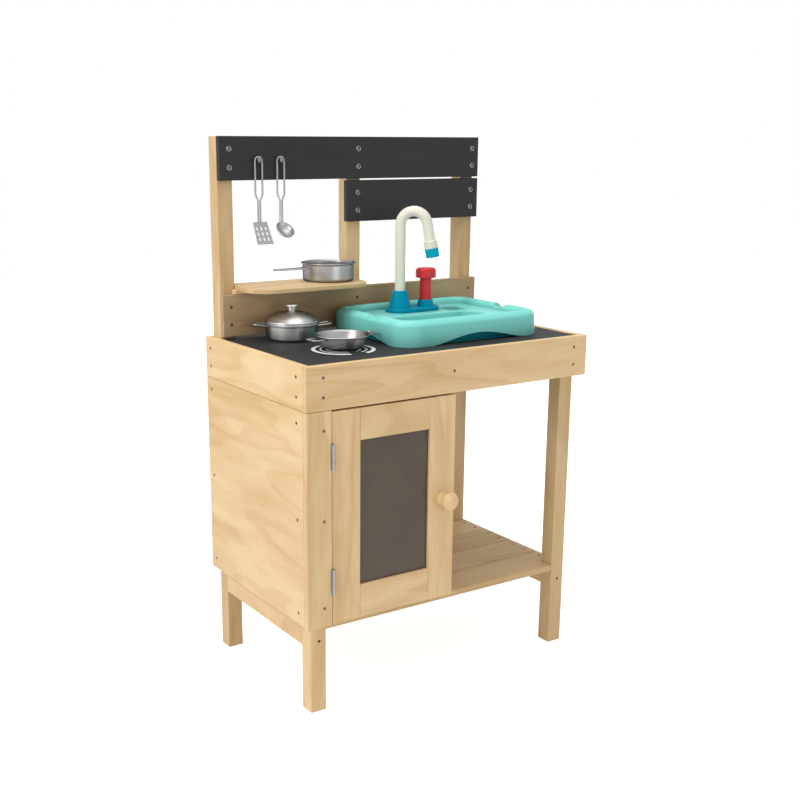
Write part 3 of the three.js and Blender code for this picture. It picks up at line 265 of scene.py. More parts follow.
# The light and the dark tone of each finish
TONES = {
    "pine": ((0.84, 0.625, 0.355), (0.755, 0.53, 0.28)),
    # A darker copy of the pine, painted shade for the legs, posts, shelf and slats
    "painted_shade_pine": ((0.70, 0.515, 0.285), (0.63, 0.44, 0.23)),
    # A much darker copy of the pine, painted shade for the backsplash under the shelf
    "painted_deep_shade_pine": ((0.46, 0.33, 0.19), (0.40, 0.28, 0.155)),
    "turned_pine": ((0.86, 0.61, 0.32), (0.78, 0.53, 0.27)),
    "aqua": ((0.225, 0.72, 0.65), (0.215, 0.70, 0.63)),
    "teal": ((0.0, 0.25, 0.32), (0.0, 0.235, 0.30)),
    "blue": ((0.0, 0.28, 0.43), (0.0, 0.265, 0.41)),
    "bright_blue": ((0.0, 0.38, 0.51), (0.0, 0.36, 0.49)),
    "cream": ((0.79, 0.765, 0.655), (0.77, 0.745, 0.635)),
    "red": ((0.68, 0.028, 0.034), (0.65, 0.025, 0.03)),
    "rubber_grey": ((0.22, 0.22, 0.23), (0.19, 0.19, 0.2)),
    "front_screw": ((0.38, 0.27, 0.25), (0.32, 0.22, 0.21)),
    # A darker copy of the screw finish, painted shade for screws away from the front boards
    "painted_shade_screw": ((0.19, 0.12, 0.07), (0.15, 0.095, 0.055)),
}
BLACK = (0.024, 0.024, 0.0255)
WORKTOP_BLACK = (0.033, 0.033, 0.0345)


def kitchen(x, y, z):
    """A point measured from the kitchen's front left foot."""
    return Vector((LEFT_OF_ROW + x, FRONT_OF_BOARDS + y, z))


# Materials


def new_material(name):
    """A material with a principled shader, and its node tree."""
    material = bpy.data.materials.new(name)
    material.use_nodes = True
    tree = material.node_tree
    shader = next(node for node in tree.nodes if node.type == "BSDF_PRINCIPLED")
    return material, tree, shader


def node(tree, kind, **values):
    """A new node, with its properties and its named inputs set."""
    made = tree.nodes.new(kind)
    for key, value in values.items():
        if hasattr(made, key):
            setattr(made, key, value)
        else:
            made.inputs[key.replace("_", " ")].default_value = value
    return made


def ramp(tree, source, stops):
    """A colour ramp on a value: stops are (place, colour)."""
    made = tree.nodes.new("ShaderNodeValToRGB")
    elements = made.color_ramp.elements
    while len(elements) < len(stops):
        elements.new(0.5)
    for element, (place, colour) in zip(elements, stops):
        element.position = place
        element.color = (*colour, 1)
    tree.links.new(source, made.inputs["Fac"])
    return made.outputs["Color"]


def two_tones(tree, source, places, first, second):
    """A ramp from one colour to another."""
    return ramp(tree, source, list(zip(places, (first, second))))


def grey(value):
    return (value, value, value)


def remap(tree, source, low, high):
    """A value from 0 to 1 moved to the range low to high."""
    made = node(tree, "ShaderNodeMapRange", To_Min=low, To_Max=high)
    tree.links.new(source, made.inputs["Value"])
    return made.outputs["Result"]


def vary_gloss(tree, source, shader, gloss, at_low, at_high):
    """Roughness that moves about one value with a texture: what is added at its low and high end."""
    varied = remap(tree, source, gloss + at_low, gloss + at_high)
    tree.links.new(varied, shader.inputs["Roughness"])


def multiply(tree, first, second):
    """Two colours multiplied."""
    made = node(tree, "ShaderNodeMix", data_type="RGBA", blend_type="MULTIPLY")
    made.inputs[0].default_value = 1.0
    tree.links.new(first, made.inputs[6])
    tree.links.new(second, made.inputs[7])
    return made.outputs[2]


def object_point(tree, scale=(1, 1, 1)):
    """The object's own coordinates, scaled, and moved by an amount that differs from piece to piece."""
    coordinates = node(tree, "ShaderNodeTexCoord").outputs["Object"]
    mapping = node(tree, "ShaderNodeMapping")
    mapping.inputs["Scale"].default_value = scale
    tree.links.new(coordinates, mapping.inputs["Vector"])
    seed = node(tree, "ShaderNodeObjectInfo").outputs["Random"]
    spread = node(tree, "ShaderNodeVectorMath", operation="SCALE")
    spread.inputs[0].default_value = PIECE_SPREAD
    tree.links.new(seed, spread.inputs["Scale"])
    tree.links.new(spread.outputs["Vector"], mapping.inputs["Location"])
    return mapping.outputs["Vector"]


def noise(tree, point, scale=1.0, detail=3.0, distortion=0.0):
    made = node(tree, "ShaderNodeTexNoise", Scale=scale, Detail=detail)
    made.inputs["Distortion"].default_value = distortion
    tree.links.new(point, made.inputs["Vector"])
    return made.outputs["Fac"]


def bump(tree, height, shader, strength, distance, before=None):
    """A relief on a shader, over another one or over the plain surface."""
    made = node(tree, "ShaderNodeBump", Strength=strength, Distance=distance)
    tree.links.new(height, made.inputs["Height"])
    if before:
        tree.links.new(before, made.inputs["Normal"])
    tree.links.new(made.outputs["Normal"], shader.inputs["Normal"])
    return made.outputs["Normal"]


def stretched(axis, along, across):
    """Texture scales for a grain that runs along one axis."""
    return tuple(along if letter == axis else across for letter in "xyz")


def contours(tree, height, count):
    """Bands with one sharp side and one that fades, like the growth rings on a sawn face."""
    spread = node(tree, "ShaderNodeMath", operation="MULTIPLY")
    spread.inputs[1].default_value = count
    tree.links.new(height, spread.inputs[0])
    part = node(tree, "ShaderNodeMath", operation="FRACT")
    tree.links.new(spread.outputs[0], part.inputs[0])
    return part.outputs[0]


def grain_texture(tree, axis, along, across, **settings):
    """A texture drawn out along one axis."""
    return noise(tree, object_point(tree, stretched(axis, along, across)), **settings)


def wood_grain(tree, axis):
    """Broad bands, thin ring lines, fibres, streaks and cloudy patches of a board along one axis."""
    figure = grain_texture(tree, axis, **FIGURE)
    bands = contours(tree, figure, BAND_COUNT)
    lines = contours(tree, figure, LINE_COUNT)
    fibre = grain_texture(tree, axis, **FIBRE)
    streak = grain_texture(tree, axis, **STREAK)
    patch = grain_texture(tree, axis, **PATCH)
    return bands, lines, fibre, streak, patch


def pine(name, axis, light, dark, gloss=0.55):
    """Clear-lacquered pine: cloudy patches, soft bands, faint ring lines, resin streaks and fine fibres."""
    material, tree, shader = new_material(name)
    bands, lines, fibre, streak, patch = wood_grain(tree, axis)
    colour = two_tones(tree, patch, PATCH_PLACES, dark, light)
    seed = node(tree, "ShaderNodeObjectInfo").outputs["Random"]
    for height, stops in (
        (bands, BAND_STOPS),
        (lines, LINE_STOPS),
        (streak, STREAK_STOPS),
        (fibre, FIBRE_STOPS),
        (seed, PIECE_STOPS),
    ):
        colour = multiply(tree, colour, ramp(tree, height, stops))
    tree.links.new(colour, shader.inputs["Base Color"])
    vary_gloss(tree, fibre, shader, gloss, at_low=0.08, at_high=-0.06)
    shader.inputs["Specular IOR Level"].default_value = PINE_SHINE
    fibres = bump(tree, fibre, shader, strength=0.12, distance=0.0003)
    bump(tree, lines, shader, strength=0.04, distance=0.0003, before=fibres)
    return material


def black_paint(name, axis, tint, gloss=0.5, shine=0.25):
    """Black paint over pine: the grain shows as a faint relief and in the gloss."""
    material, tree, shader = new_material(name)
    _, lines, fibre, streak, patch = wood_grain(tree, axis)
    base = ramp(tree, patch, [(place, tuple(part * c for c in tint)) for place, part in PAINT_SHARES])
    fine = two_tones(tree, fibre, MARK_PLACES, grey(PAINT_FIBRE_DARK), WHITE)
    worn = ramp(tree, streak, WORN_PAINT_STOPS)
    tree.links.new(multiply(tree, multiply(tree, base, fine), worn), shader.inputs["Base Color"])
    vary_gloss(tree, fibre, shader, gloss, at_low=0.1, at_high=-0.05)
    shader.inputs["Specular IOR Level"].default_value = shine
    fibres = bump(tree, fibre, shader, strength=0.14, distance=0.0003)
    bump(tree, lines, shader, strength=0.06, distance=0.0004, before=fibres)
    return material


def moulded(name, light, dark, gloss=0.38, rounding=PLASTIC_EDGE, shine=0.3, painted_recess_shade=1.0, reach=PAINTED_SHADE_REACH):
    """Moulded plastic: faintly cloudy, with a fine grained skin, soft edges and, where asked, painted shade
    that darkens its recesses.
    """
    material, tree, shader = new_material(name)
    cloud = noise(tree, object_point(tree), scale=22.0)
    grain = noise(tree, object_point(tree), scale=2100.0, detail=1.0)
    colour = two_tones(tree, cloud, CLOUD_PLACES, dark, light)
    # Painted shade: ambient occlusion darkens the colour in recesses and corners
    if painted_recess_shade < 1:
        painted_shade_mask = node(tree, "ShaderNodeAmbientOcclusion", samples=8, Distance=reach).outputs["AO"]
        colour = multiply(tree, colour, two_tones(tree, painted_shade_mask, PAINTED_SHADE_PLACES, grey(painted_recess_shade), WHITE))
    tree.links.new(colour, shader.inputs["Base Color"])
    vary_gloss(tree, grain, shader, gloss, at_low=-0.05, at_high=0.07)
    shader.inputs["Specular IOR Level"].default_value = shine
    edge = node(tree, "ShaderNodeBevel", samples=4, Radius=rounding).outputs["Normal"]
    bump(tree, grain, shader, strength=0.06, distance=0.0002, before=edge)
    return material


def turned_steel(name, centre, light, gloss):
    """Stainless steel polished on a lathe about an upright axis, so that its highlights stand upright."""
    material, tree, shader = new_material(name)
    mapping = node(tree, "ShaderNodeMapping")
    mapping.inputs["Location"].default_value = (-centre[0], -centre[1], 0)
    coordinates = node(tree, "ShaderNodeTexCoord").outputs["Object"]
    tree.links.new(coordinates, mapping.inputs["Vector"])
    circles = node(
        tree,
        "ShaderNodeTexWave",
        wave_type="RINGS",
        rings_direction="Z",
        Scale=CIRCLE_SCALE,
        Distortion=CIRCLE_DISTORTION,
    )
    tree.links.new(mapping.outputs["Vector"], circles.inputs["Vector"])
    smear = noise(tree, object_point(tree, SMEAR_SCALES))
    colour = two_tones(tree, smear, CLOUD_PLACES, grey(light * SMEAR_DARK), grey(light))
    tree.links.new(colour, shader.inputs["Base Color"])
    shader.inputs["Metallic"].default_value = 1.0
    shader.inputs["Specular Tint"].default_value = (*STEEL_EDGE_TINT, 1)
    shader.inputs["Anisotropic"].default_value = LATHE_MARKS
    shader.inputs["Anisotropic Rotation"].default_value = QUARTER_TURN
    vary_gloss(tree, smear, shader, gloss, at_low=-0.05, at_high=0.07)
    bump(tree, circles.outputs["Fac"], shader, strength=0.03, distance=0.00005)
    return material


def drawn_steel(name, axis, light, gloss):
    """Steel wire, sheet and fittings with fine marks along one axis."""
    material, tree, shader = new_material(name)
    marks = grain_texture(tree, axis, **DRAWN_MARKS)
    cloud = noise(tree, object_point(tree), scale=60.0)
    tones = two_tones(tree, cloud, CLOUD_PLACES, grey(light * CLOUD_DARK), grey(light))
    scratches = two_tones(tree, marks, MARK_PLACES, grey(MARK_DARK), WHITE)
    tree.links.new(multiply(tree, tones, scratches), shader.inputs["Base Color"])
    shader.inputs["Metallic"].default_value = 1.0
    vary_gloss(tree, marks, shader, gloss, at_low=-0.04, at_high=0.08)
    bump(tree, marks, shader, strength=0.02, distance=0.00005)
    return material


def smoked_acrylic(name):
    """A brown smoked pane: mostly tint, a little see-through, with a faint haze in its gloss."""
    material, tree, shader = new_material(name)
    haze = noise(tree, object_point(tree), scale=14.0)
    tint = two_tones(tree, haze, CLOUD_PLACES, SMOKE_DARK, SMOKE_LIGHT)
    tree.links.new(tint, shader.inputs["Base Color"])
    tree.links.new(remap(tree, haze, low=0.16, high=0.24), shader.inputs["Roughness"])
    shader.inputs["Specular IOR Level"].default_value = SMOKE_SHINE
    clear = node(tree, "ShaderNodeBsdfTransparent", Color=(*SMOKE_CLEAR, 1))
    mixed = node(tree, "ShaderNodeMixShader", Fac=SMOKE_COVER)
    tree.links.new(clear.outputs[0], mixed.inputs[1])
    tree.links.new(shader.outputs[0], mixed.inputs[2])
    output = next(n for n in tree.nodes if n.type == "OUTPUT_MATERIAL")
    tree.links.new(mixed.outputs[0], output.inputs["Surface"])
    return material


def printed_ink(name):
    """White printed ink, a little worn where pans are slid about."""
    material, tree, shader = new_material(name)
    wear = noise(tree, object_point(tree), scale=160.0, detail=4.0)
    colour = two_tones(tree, wear, WEAR_PLACES, grey(INK_WORN), grey(INK_WHOLE))
    tree.links.new(colour, shader.inputs["Base Color"])
    tree.links.new(remap(tree, wear, low=0.65, high=0.45), shader.inputs["Roughness"])
    bump(tree, wear, shader, strength=0.1, distance=0.0001)
    return material


def screw_finish(name, light, dark):
    """A dull plated screw, with painted shade that darkens the inside of its cross and round its edge."""
    return moulded(name, light, dark, gloss=0.5, rounding=STEEL_EDGE, painted_recess_shade=0.02, reach=SCREW_PAINTED_SHADE_REACH)


pines = {axis: pine("pine_along_" + axis, axis, *TONES["pine"]) for axis in "xyz"}
# Painted shade: darker pine for the boards that stand in shade
painted_shade_pines = {axis: pine("pine_painted_shade_" + axis, axis, *TONES["painted_shade_pine"]) for axis in "xz"}
# Painted shade: the backsplash under the shelf
painted_deep_shade_pine = pine("pine_painted_deep_shade", "x", *TONES["painted_deep_shade_pine"])
turned_pine = pine("pine_turned", "y", *TONES["turned_pine"], gloss=0.42)
paint = black_paint("black_paint", "x", BLACK)
worktop_paint = black_paint("worktop_paint", "x", WORKTOP_BLACK, gloss=0.55, shine=0.1)
# The sink's plastic gets painted shade in its recesses
aqua = moulded("aqua_plastic", *TONES["aqua"], painted_recess_shade=0.5)
teal = moulded("teal_plastic", *TONES["teal"], shine=0.12)
blue = moulded("blue_plastic", *TONES["blue"], gloss=0.4, shine=0.05)
bright_blue = moulded("bright_blue_plastic", *TONES["bright_blue"], gloss=0.4, shine=0.05)
cream = moulded("white_plastic", *TONES["cream"], gloss=0.34)
red = moulded("red_plastic", *TONES["red"], gloss=0.28)
rubber_grey = moulded("grey_plastic", *TONES["rubber_grey"], gloss=0.5)
fitting_steel = drawn_steel("fitting_steel", "z", light=0.33, gloss=0.42)
hook_steel = drawn_steel("hook_steel", "y", light=0.2, gloss=0.4)
wire_steel = drawn_steel("wire_steel", "z", light=0.4, gloss=0.36)
knob_steel = drawn_steel("lid_knob_steel", "z", light=0.85, gloss=0.34)
screw_steel = drawn_steel("screw_steel", "x", light=0.14, gloss=0.4)
cup_steel = drawn_steel("cup_washer_steel", "x", light=0.5, gloss=0.35)
front_screw = screw_finish("front_screw_finish", *TONES["front_screw"])
# Painted shade: darker screws for the boards away from the front
painted_shade_screw = screw_finish("painted_shade_screw_finish", *TONES["painted_shade_screw"])
smoked = smoked_acrylic("smoked_pane")
ink = printed_ink("hob_ink")


# Objects and meshes


def add_object(name, data):
    """A new object in the scene."""
    made = bpy.data.objects.new(name, data)
    bpy.context.scene.collection.objects.link(made)
    return made


def new_piece(name, mesh, material, body):
    """An object from a mesh, with its finish and the body that it moves with."""
    made = add_object(name, mesh)
    mesh.materials.clear()
    mesh.materials.append(material)
    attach(made, body)
    return made


def outward(bm):
    """The same form with its faces turned outward."""
    bmesh.ops.recalc_face_normals(bm, faces=bm.faces[:])
    return bm


def mesh_from(bm, name, smooth_angle=SMOOTH_ANGLE):
    mesh = bpy.data.meshes.new(name)
    bm.normal_update()
    for face in bm.faces:
        face.smooth = True
    bm.to_mesh(mesh)
    bm.free()
    mesh.set_sharp_from_angle(angle=math.radians(smooth_angle))
    return mesh


def weighted(piece):
    """Lets broad flat faces keep their flat shading beside rounded edges."""
    modifier = piece.modifiers.new("flat faces", "WEIGHTED_NORMAL")
    modifier.keep_sharp = True
    modifier.weight = FLAT_FACE_WEIGHT
    return piece


def welded(node_name):
    """A CAD node's form as one closed mesh with whole faces."""
    bm = bmesh.new()
    bm.from_mesh(frame["nodes"][node_name].data)
    bmesh.ops.remove_doubles(bm, verts=bm.verts[:], dist=WELD_DISTANCE)
    limit = math.radians(FLAT_ANGLE)
    bmesh.ops.dissolve_limit(bm, angle_limit=limit, verts=bm.verts[:], edges=bm.edges[:])
    return outward(bm)


def round_edges(bm, radius):
    limit = math.radians(BEVEL_ANGLE)
    sharp = [edge for edge in bm.edges if edge.is_manifold and edge.calc_face_angle(0) > limit]
    bmesh.ops.bevel(
        bm,
        geom=sharp,
        offset=radius,
        segments=BEVEL_SEGMENTS,
        profile=0.5,
        affect="EDGES",
        clamp_overlap=True,
    )


def cut_away(mesh, cutter_mesh, **settings):
    """A mesh with another one cut out of it."""
    cutter = add_object("cutter", cutter_mesh)
    holder = add_object("holder", mesh)
    modifier = holder.modifiers.new("cut", "BOOLEAN")
    modifier.operation = "DIFFERENCE"
    modifier.solver = "EXACT"
    modifier.object = cutter
    for key, value in settings.items():
        setattr(modifier, key, value)
    bpy.context.view_layer.update()
    evaluated = holder.evaluated_get(bpy.context.evaluated_depsgraph_get())
    result = bpy.data.meshes.new_from_object(evaluated)
    bpy.data.objects.remove(holder)
    bpy.data.objects.remove(cutter)
    return result


def facing(direction):
    """A turn that takes +z to a direction."""
    return Vector((0, 0, 1)).rotation_difference(Vector(direction)).to_matrix().to_4x4()


def vertex_ring(bm, place, radius, height, segments):
    """Vertices round an axis, or the one on it."""
    if radius < WELD_DISTANCE:
        return [bm.verts.new(place @ Vector((0, 0, height)))]
    angles = [2 * math.pi * i / segments for i in range(segments)]
    points = [(radius * math.cos(angle), radius * math.sin(angle), height) for angle in angles]
    return [bm.verts.new(place @ Vector(point)) for point in points]


def lathe(bm, profile, centre, segments=ROUND_SEGMENTS, direction=(0, 0, 1)):
    """Adds a solid of revolution. The profile runs in (radius, height) from axis to axis, or closes."""
    place = Matrix.Translation(centre) @ facing(direction)
    rings = [vertex_ring(bm, place, radius, height, segments) for radius, height in profile]
    for lower, upper in zip(rings, rings[1:]):
        for i in range(segments):
            j = (i + 1) % segments
            corners = [ring[k % len(ring)] for ring, k in ((lower, i), (lower, j), (upper, j), (upper, i))]
            unique = list(dict.fromkeys(corners))
            if len(unique) > 2:
                bm.faces.new(unique)
    return bm


def arc(centre, radius, start, end):
    """Points of an arc in a profile, angles in degrees."""
    angles = [math.radians(start + (end - start) * i / CURVE_STEPS) for i in range(CURVE_STEPS + 1)]
    return [(centre[0] + radius * math.cos(a), centre[1] + radius * math.sin(a)) for a in angles]


def corner_under(radius, level, edge):
    """A rounded corner of a profile, from its underside to its side."""
    return arc((radius - edge, level + edge), edge, -90, 0)


def corner_over(radius, level, edge):
    """A rounded corner of a profile, from its side to its top."""
    return arc((radius - edge, level - edge), edge, 0, 90)


def drilled(mesh, places, radius):
    """A board with shallow round holes at (place, direction)."""
    depth = HOLE_DEPTH
    profile = [(0, -depth), (radius, -depth), (radius, depth), (0, depth)]
    bm = bmesh.new()
    for place, direction in places:
        lathe(bm, profile, place, HEAD_SEGMENTS, direction)
    result = cut_away(mesh, mesh_from(outward(bm), "cutter"))
    result.set_sharp_from_angle(angle=math.radians(SMOOTH_ANGLE))
    return result


# Boards

BLACK_BOARDS = ("header_board", "lower_board", "worktop_panel")
# Boards that take the darker pine as painted shade
PAINTED_SHADE_BOARDS = (
    "leg_front_right post_back_left post_back_right upper_shelf "
    "shelf_slat_1 shelf_slat_2 shelf_slat_3 shelf_slat_4"
).split()
DOOR_BOARDS = ("door_stile_hinge", "door_stile_latch", "door_rail_top", "door_rail_bottom")
SEAMS_ABOVE = {
    "side_panel_left": SEAM,
    "stile_front_left": SEAM,
    "door_stile_hinge": DOOR_SEAM,
    "door_rail_top": DOOR_SEAM,
    "door_stile_latch": DOOR_SEAM,
}
GRAIN = {
    "x": (
        "apron_back apron_front backsplash_board header_board lower_board "
        "shelf_slat_1 shelf_slat_2 shelf_slat_3 shelf_slat_4 "
        "shelf_cleat upper_shelf worktop_panel door_rail_top door_rail_bottom"
    ).split(),
    "y": "apron_left apron_right batten_right rail_left rail_right side_panel_left partition_panel".split(),
    "z": (
        "leg_front_left leg_front_right post_back_left post_back_right post_centre "
        "stile_front_left back_panel door_stile_hinge door_stile_latch"
    ).split(),
}

bodies = frame["record"]["behaviour"]["bodies"]
body_of_node = {name: body for body, names in bodies.items() for name in names}


def share(node_name, axis, part):
    """A place along one side of a node's box, from 0 at its low end to 1 at its high end."""
    low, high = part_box(node_name)
    return low[axis] + (high[axis] - low[axis]) * part


# Each upright face of a board: the level axis along it, which way it looks, and along which axis
FACES = {"front": (0, -1, 1), "back": (0, 1, 1), "left": (1, -1, 0), "right": (1, 1, 0)}
BACK_POSTS = ("post_back_left", "post_centre", "post_back_right")
FRONT_LEGS = ("leg_front_left", "leg_front_right")
LEFT_POSTS = ("leg_front_left", "post_back_left")
RIGHT_POSTS = ("leg_front_right", "post_back_right")
BACK_SUPPORTS = ("post_back_left", "partition_panel")

# Rows of screws: the face, the pieces behind it, the share across each piece and the shares up the board
SCREW_ROWS = {
    "header_board": [("front", BACK_POSTS, 0.62, (0.287, 0.715))],
    "lower_board": [("front", BACK_POSTS[1:], 0.57, (0.271, 0.704))],
    "backsplash_board": [("front", BACK_POSTS, 0.55, (0.29, 0.71))],
    "apron_front": [
        ("front", FRONT_LEGS, 0.66, (0.296, 0.731)),
        ("front", ("apron_front",), 0.4907, (0.52,)),
    ],
    "stile_front_left": [("front", ("leg_front_left",), 0.68, (0.09, 0.5, 0.912))],
    "apron_left": [("left", LEFT_POSTS, 0.66, (0.286, 0.727))],
    "apron_right": [("right", RIGHT_POSTS, 0.5, (0.286, 0.727))],
    "side_panel_left": [("left", LEFT_POSTS, 0.66, (0.058, 0.5, 0.941))],
    "apron_back": [("back", BACK_POSTS, 0.5, (0.3, 0.7))],
    "back_panel": [("back", BACK_SUPPORTS, 0.5, (0.05, 0.5, 0.95))],
    "leg_front_left": [("front", ("leg_front_left",), 0.55, (0.218,))],
    "leg_front_right": [("front", ("leg_front_right",), 0.53, (0.219,))],
}
SLATS = tuple("shelf_slat_" + str(number) for number in range(1, 5))
SLAT_SCREW_SHARES = (0.25, 0.7)
FRONT_SCREW_BOARDS = ("apron_front", "stile_front_left")


def screw_row(board, face, posts, across, heights):
    """Screws through an upright face of a board, as (place, direction)."""
    level_axis, way, normal_axis = FACES[face]
    direction = Vector()
    direction[normal_axis] = way
    row = []
    for post in posts:
        for up in heights:
            place = Vector()
            place[level_axis] = share(post, level_axis, across)
            place[normal_axis] = share(board, normal_axis, max(way, 0))
            place[2] = share(board, 2, up)
            row.append((place, direction))
    return row


def slat_screws(slat):
    """Two screws at each end of a bottom slat, into the rails."""
    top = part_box(slat)[1][2]
    ends = (share("rail_left", 0, 0.5), share("rail_right", 0, 0.5))
    places = [(x, share(slat, 1, part), top) for x in ends for part in SLAT_SCREW_SHARES]
    return [(Vector(place), Vector((0, 0, 1))) for place in places]


def board_screws(board, rows):
    """All the screws of a board."""
    return [screw for row in rows for screw in screw_row(board, *row)]


screws = {board: board_screws(board, rows) for board, rows in SCREW_ROWS.items()}
screws.update((slat, slat_screws(slat)) for slat in SLATS)


def lower_top(bm, seam):
    """Takes a little off a board's top edge, so that a thin dark seam shows under the board above it."""
    top = max(vert.co.z for vert in bm.verts)
    for vert in bm.verts:
        if vert.co.z > top - WELD_DISTANCE:
            vert.co.z -= seam


def close_hinge_gap(bm):
    """Widens the door a little at its hinges, so that the gap shows only as a fine line."""
    left = min(vert.co.x for vert in bm.verts)
    for vert in bm.verts:
        if vert.co.x < left + WELD_DISTANCE:
            vert.co.x -= DOOR_GAP_TAKEN


def board_edge(name):
    if name in BLACK_BOARDS:
        return PAINT_EDGE
    return DOOR_EDGE if name in DOOR_BOARDS else WOOD_EDGE


def board_finish(name, axis):
    if name == "worktop_panel":
        return worktop_paint
    if name in BLACK_BOARDS:
        return paint
    # The backsplash takes the much darker pine as painted shade under the shelf
    if name == "backsplash_board":
        return painted_deep_shade_pine
    return painted_shade_pines[axis] if name in PAINTED_SHADE_BOARDS else pines[axis]


def make_board(name, axis):
    """A board with eased edges, the holes for its screws, and grain along its length."""
    painted = name in BLACK_BOARDS
    bm = welded(name)
    if name in SEAMS_ABOVE:
        lower_top(bm, SEAMS_ABOVE[name])
    if name == "door_stile_hinge":
        close_hinge_gap(bm)
    round_edges(bm, board_edge(name))
    mesh = mesh_from(bm, name + "_dressed")
    if name in screws:
        mesh = drilled(mesh, screws[name], CUP_HOLE_RADIUS if painted else PINE_HOLE_RADIUS)
    made = new_piece(name + "_dressed", mesh, board_finish(name, axis), body_of_node[name])
    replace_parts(made, name)
    weighted(made)


for grain_axis, names in GRAIN.items():
    for board_name in names:
        make_board(board_name, grain_axis)


# Screws


def cross_recess(radius, level):
    """Two crossed bars, to be cut out of a screw's head."""
    bm = bmesh.new()
    long_side = radius * RECESS_LENGTH_SHARE
    short_side = radius * RECESS_WIDTH_SHARE
    for sides in ((long_side, short_side), (short_side, long_side)):
        made = bmesh.ops.create_cube(bm, size=1.0)
        bmesh.ops.scale(bm, vec=(*sides, RECESS_DEPTH * 2), verts=made["verts"])
        bmesh.ops.translate(bm, vec=(0, 0, level), verts=made["verts"])
    return mesh_from(bm, "cross")


def screw_head(radius):
    """A crowned head with a cross recess, its seat at height 0."""
    crown = radius * HEAD_CROWN_SHARE
    foot = -HOLE_DEPTH * HEAD_DEPTH_SHARE
    profile = [(0, foot), (radius * HEAD_FOOT_SHARE, foot), (radius, -crown)]
    for i in range(HEAD_STEPS + 1):
        part = 1 - i / HEAD_STEPS
        profile.append((radius * HEAD_TOP_SHARE * part, crown * (1 - part * part)))
    bm = lathe(bmesh.new(), profile, Vector((0, 0, 0)), HEAD_SEGMENTS)
    head = mesh_from(outward(bm), "screw_head")
    return cut_away(head, cross_recess(radius, crown), use_self=True)


def cup_washer():
    """A pressed cup round a screw: a ring with a rolled outer edge."""
    middle = (CUP_RADIUS + CUP_HOLE_RADIUS) / 2
    half = (CUP_RADIUS - CUP_HOLE_RADIUS) / 2
    foot = -HOLE_DEPTH * CUP_DEPTH_SHARE
    angles = [math.pi * i / CUP_STEPS for i in range(CUP_STEPS + 1)]
    crest = [(middle + half * math.cos(a), CUP_HEIGHT * math.sin(a)) for a in angles]
    profile = [*crest, (CUP_HOLE_RADIUS, foot), (middle, foot), crest[0]]
    bm = lathe(bmesh.new(), profile, Vector((0, 0, 0)), HEAD_SEGMENTS)
    bmesh.ops.remove_doubles(bm, verts=bm.verts[:], dist=WELD_DISTANCE)
    return mesh_from(outward(bm), "cup_washer")


def placed_copies(mesh, places, sink):
    """Copies of a mesh at (place, direction), each turned a little further than the last."""
    bm = bmesh.new()
    for count, (place, direction) in enumerate(places):
        start = len(bm.verts)
        bm.from_mesh(mesh)
        bm.verts.ensure_lookup_table()
        turn = Matrix.Rotation(math.radians(SCREW_TURN * count), 4, "Z")
        move = Matrix.Translation(place - direction * sink) @ facing(direction) @ turn
        bmesh.ops.transform(bm, matrix=move, verts=bm.verts[start:])
    return bm


def add_fasteners(board, kind, mesh, sink, finish):
    """Copies of a screw or washer at each of a board's screw places, as one piece."""
    name = board + kind
    copies = mesh_from(placed_copies(mesh, screws[board], sink), name)
    new_piece(name, copies, finish, body_of_node[board])


pine_head = screw_head(PINE_HEAD_RADIUS)
bright_head = screw_head(CUP_HEAD_RADIUS)
washer = cup_washer()
for board_name in screws:
    if board_name in BLACK_BOARDS:
        add_fasteners(board_name, "_screws", bright_head, 0, screw_steel)
        add_fasteners(board_name, "_cup_washers", washer, 0, cup_steel)
    else:
        # Screws off the front boards take the darker finish as painted shade
        screw_colour = front_screw if board_name in FRONT_SCREW_BOARDS else painted_shade_screw
        add_fasteners(board_name, "_screws", pine_head, PINE_HEAD_SINK, screw_colour)


# Pieces that keep the form of their CAD node, welded, some with rounded edges


def dress(names, material, edge=0):
    for name in names:
        bm = welded(name)
        if edge:
            round_edges(bm, edge)
        mesh = mesh_from(bm, name + "_dressed")
        made = new_piece(name + "_dressed", mesh, material, body_of_node[name])
        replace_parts(weighted(made), name)


dress(["sink_tray"], aqua)
dress(["sink_tub"], teal)
dress(["tap_base"], blue)
dress(["tap_nozzle"], bright_blue)
dress(["tap_spout", "pump_cylinder"], cream)
dress(["pump_spring"], wire_steel)
dress(["door_pane"], smoked, STEEL_EDGE)
dress(["magnet_catch"], rubber_grey, STEEL_EDGE)
dress(["hook_left", "hook_right"], hook_steel)
dress(["catch_strike"], fitting_steel)
dress(["hinge_upper_fixed_leaf", "hinge_lower_fixed_leaf"], fitting_steel)
dress(["hinge_upper_door_leaf", "hinge_lower_door_leaf"], fitting_steel)
dress(["saucepan_handle", "pot_handle_left", "pot_handle_right"], wire_steel)
dress(["skillet_handle_left", "skillet_handle_right"], wire_steel)
dress(["spatula", "spoon"], wire_steel)
dress(["door_knob"], turned_pine)


def shorten_with_press(spring):
    """Gives the coil spring its own copy of its mesh."""
    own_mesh(spring)


shorten_with_press(bpy.data.objects["pump_spring_dressed"])


# Pans, lid and pump: pieces that are turned anew about the axis of their CAD node


def middle_of(name):
    low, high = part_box(name)
    return Vector(((low[0] + high[0]) / 2, (low[1] + high[1]) / 2, 0))


def radius_of(name):
    low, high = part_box(name)
    return (high[0] - low[0]) / 2


def levels_of(name):
    """The height of a node's foot and of its top."""
    low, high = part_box(name)
    return low[2], high[2]


def turn_piece(name, profile, material, smooth_angle=SMOOTH_ANGLE):
    """A piece turned from a profile, in the place of its CAD node."""
    bm = outward(lathe(bmesh.new(), profile, middle_of(name)))
    mesh = mesh_from(bm, name + "_dressed", smooth_angle)
    made = new_piece(name + "_dressed", mesh, material, body_of_node[name])
    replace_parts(made, name)


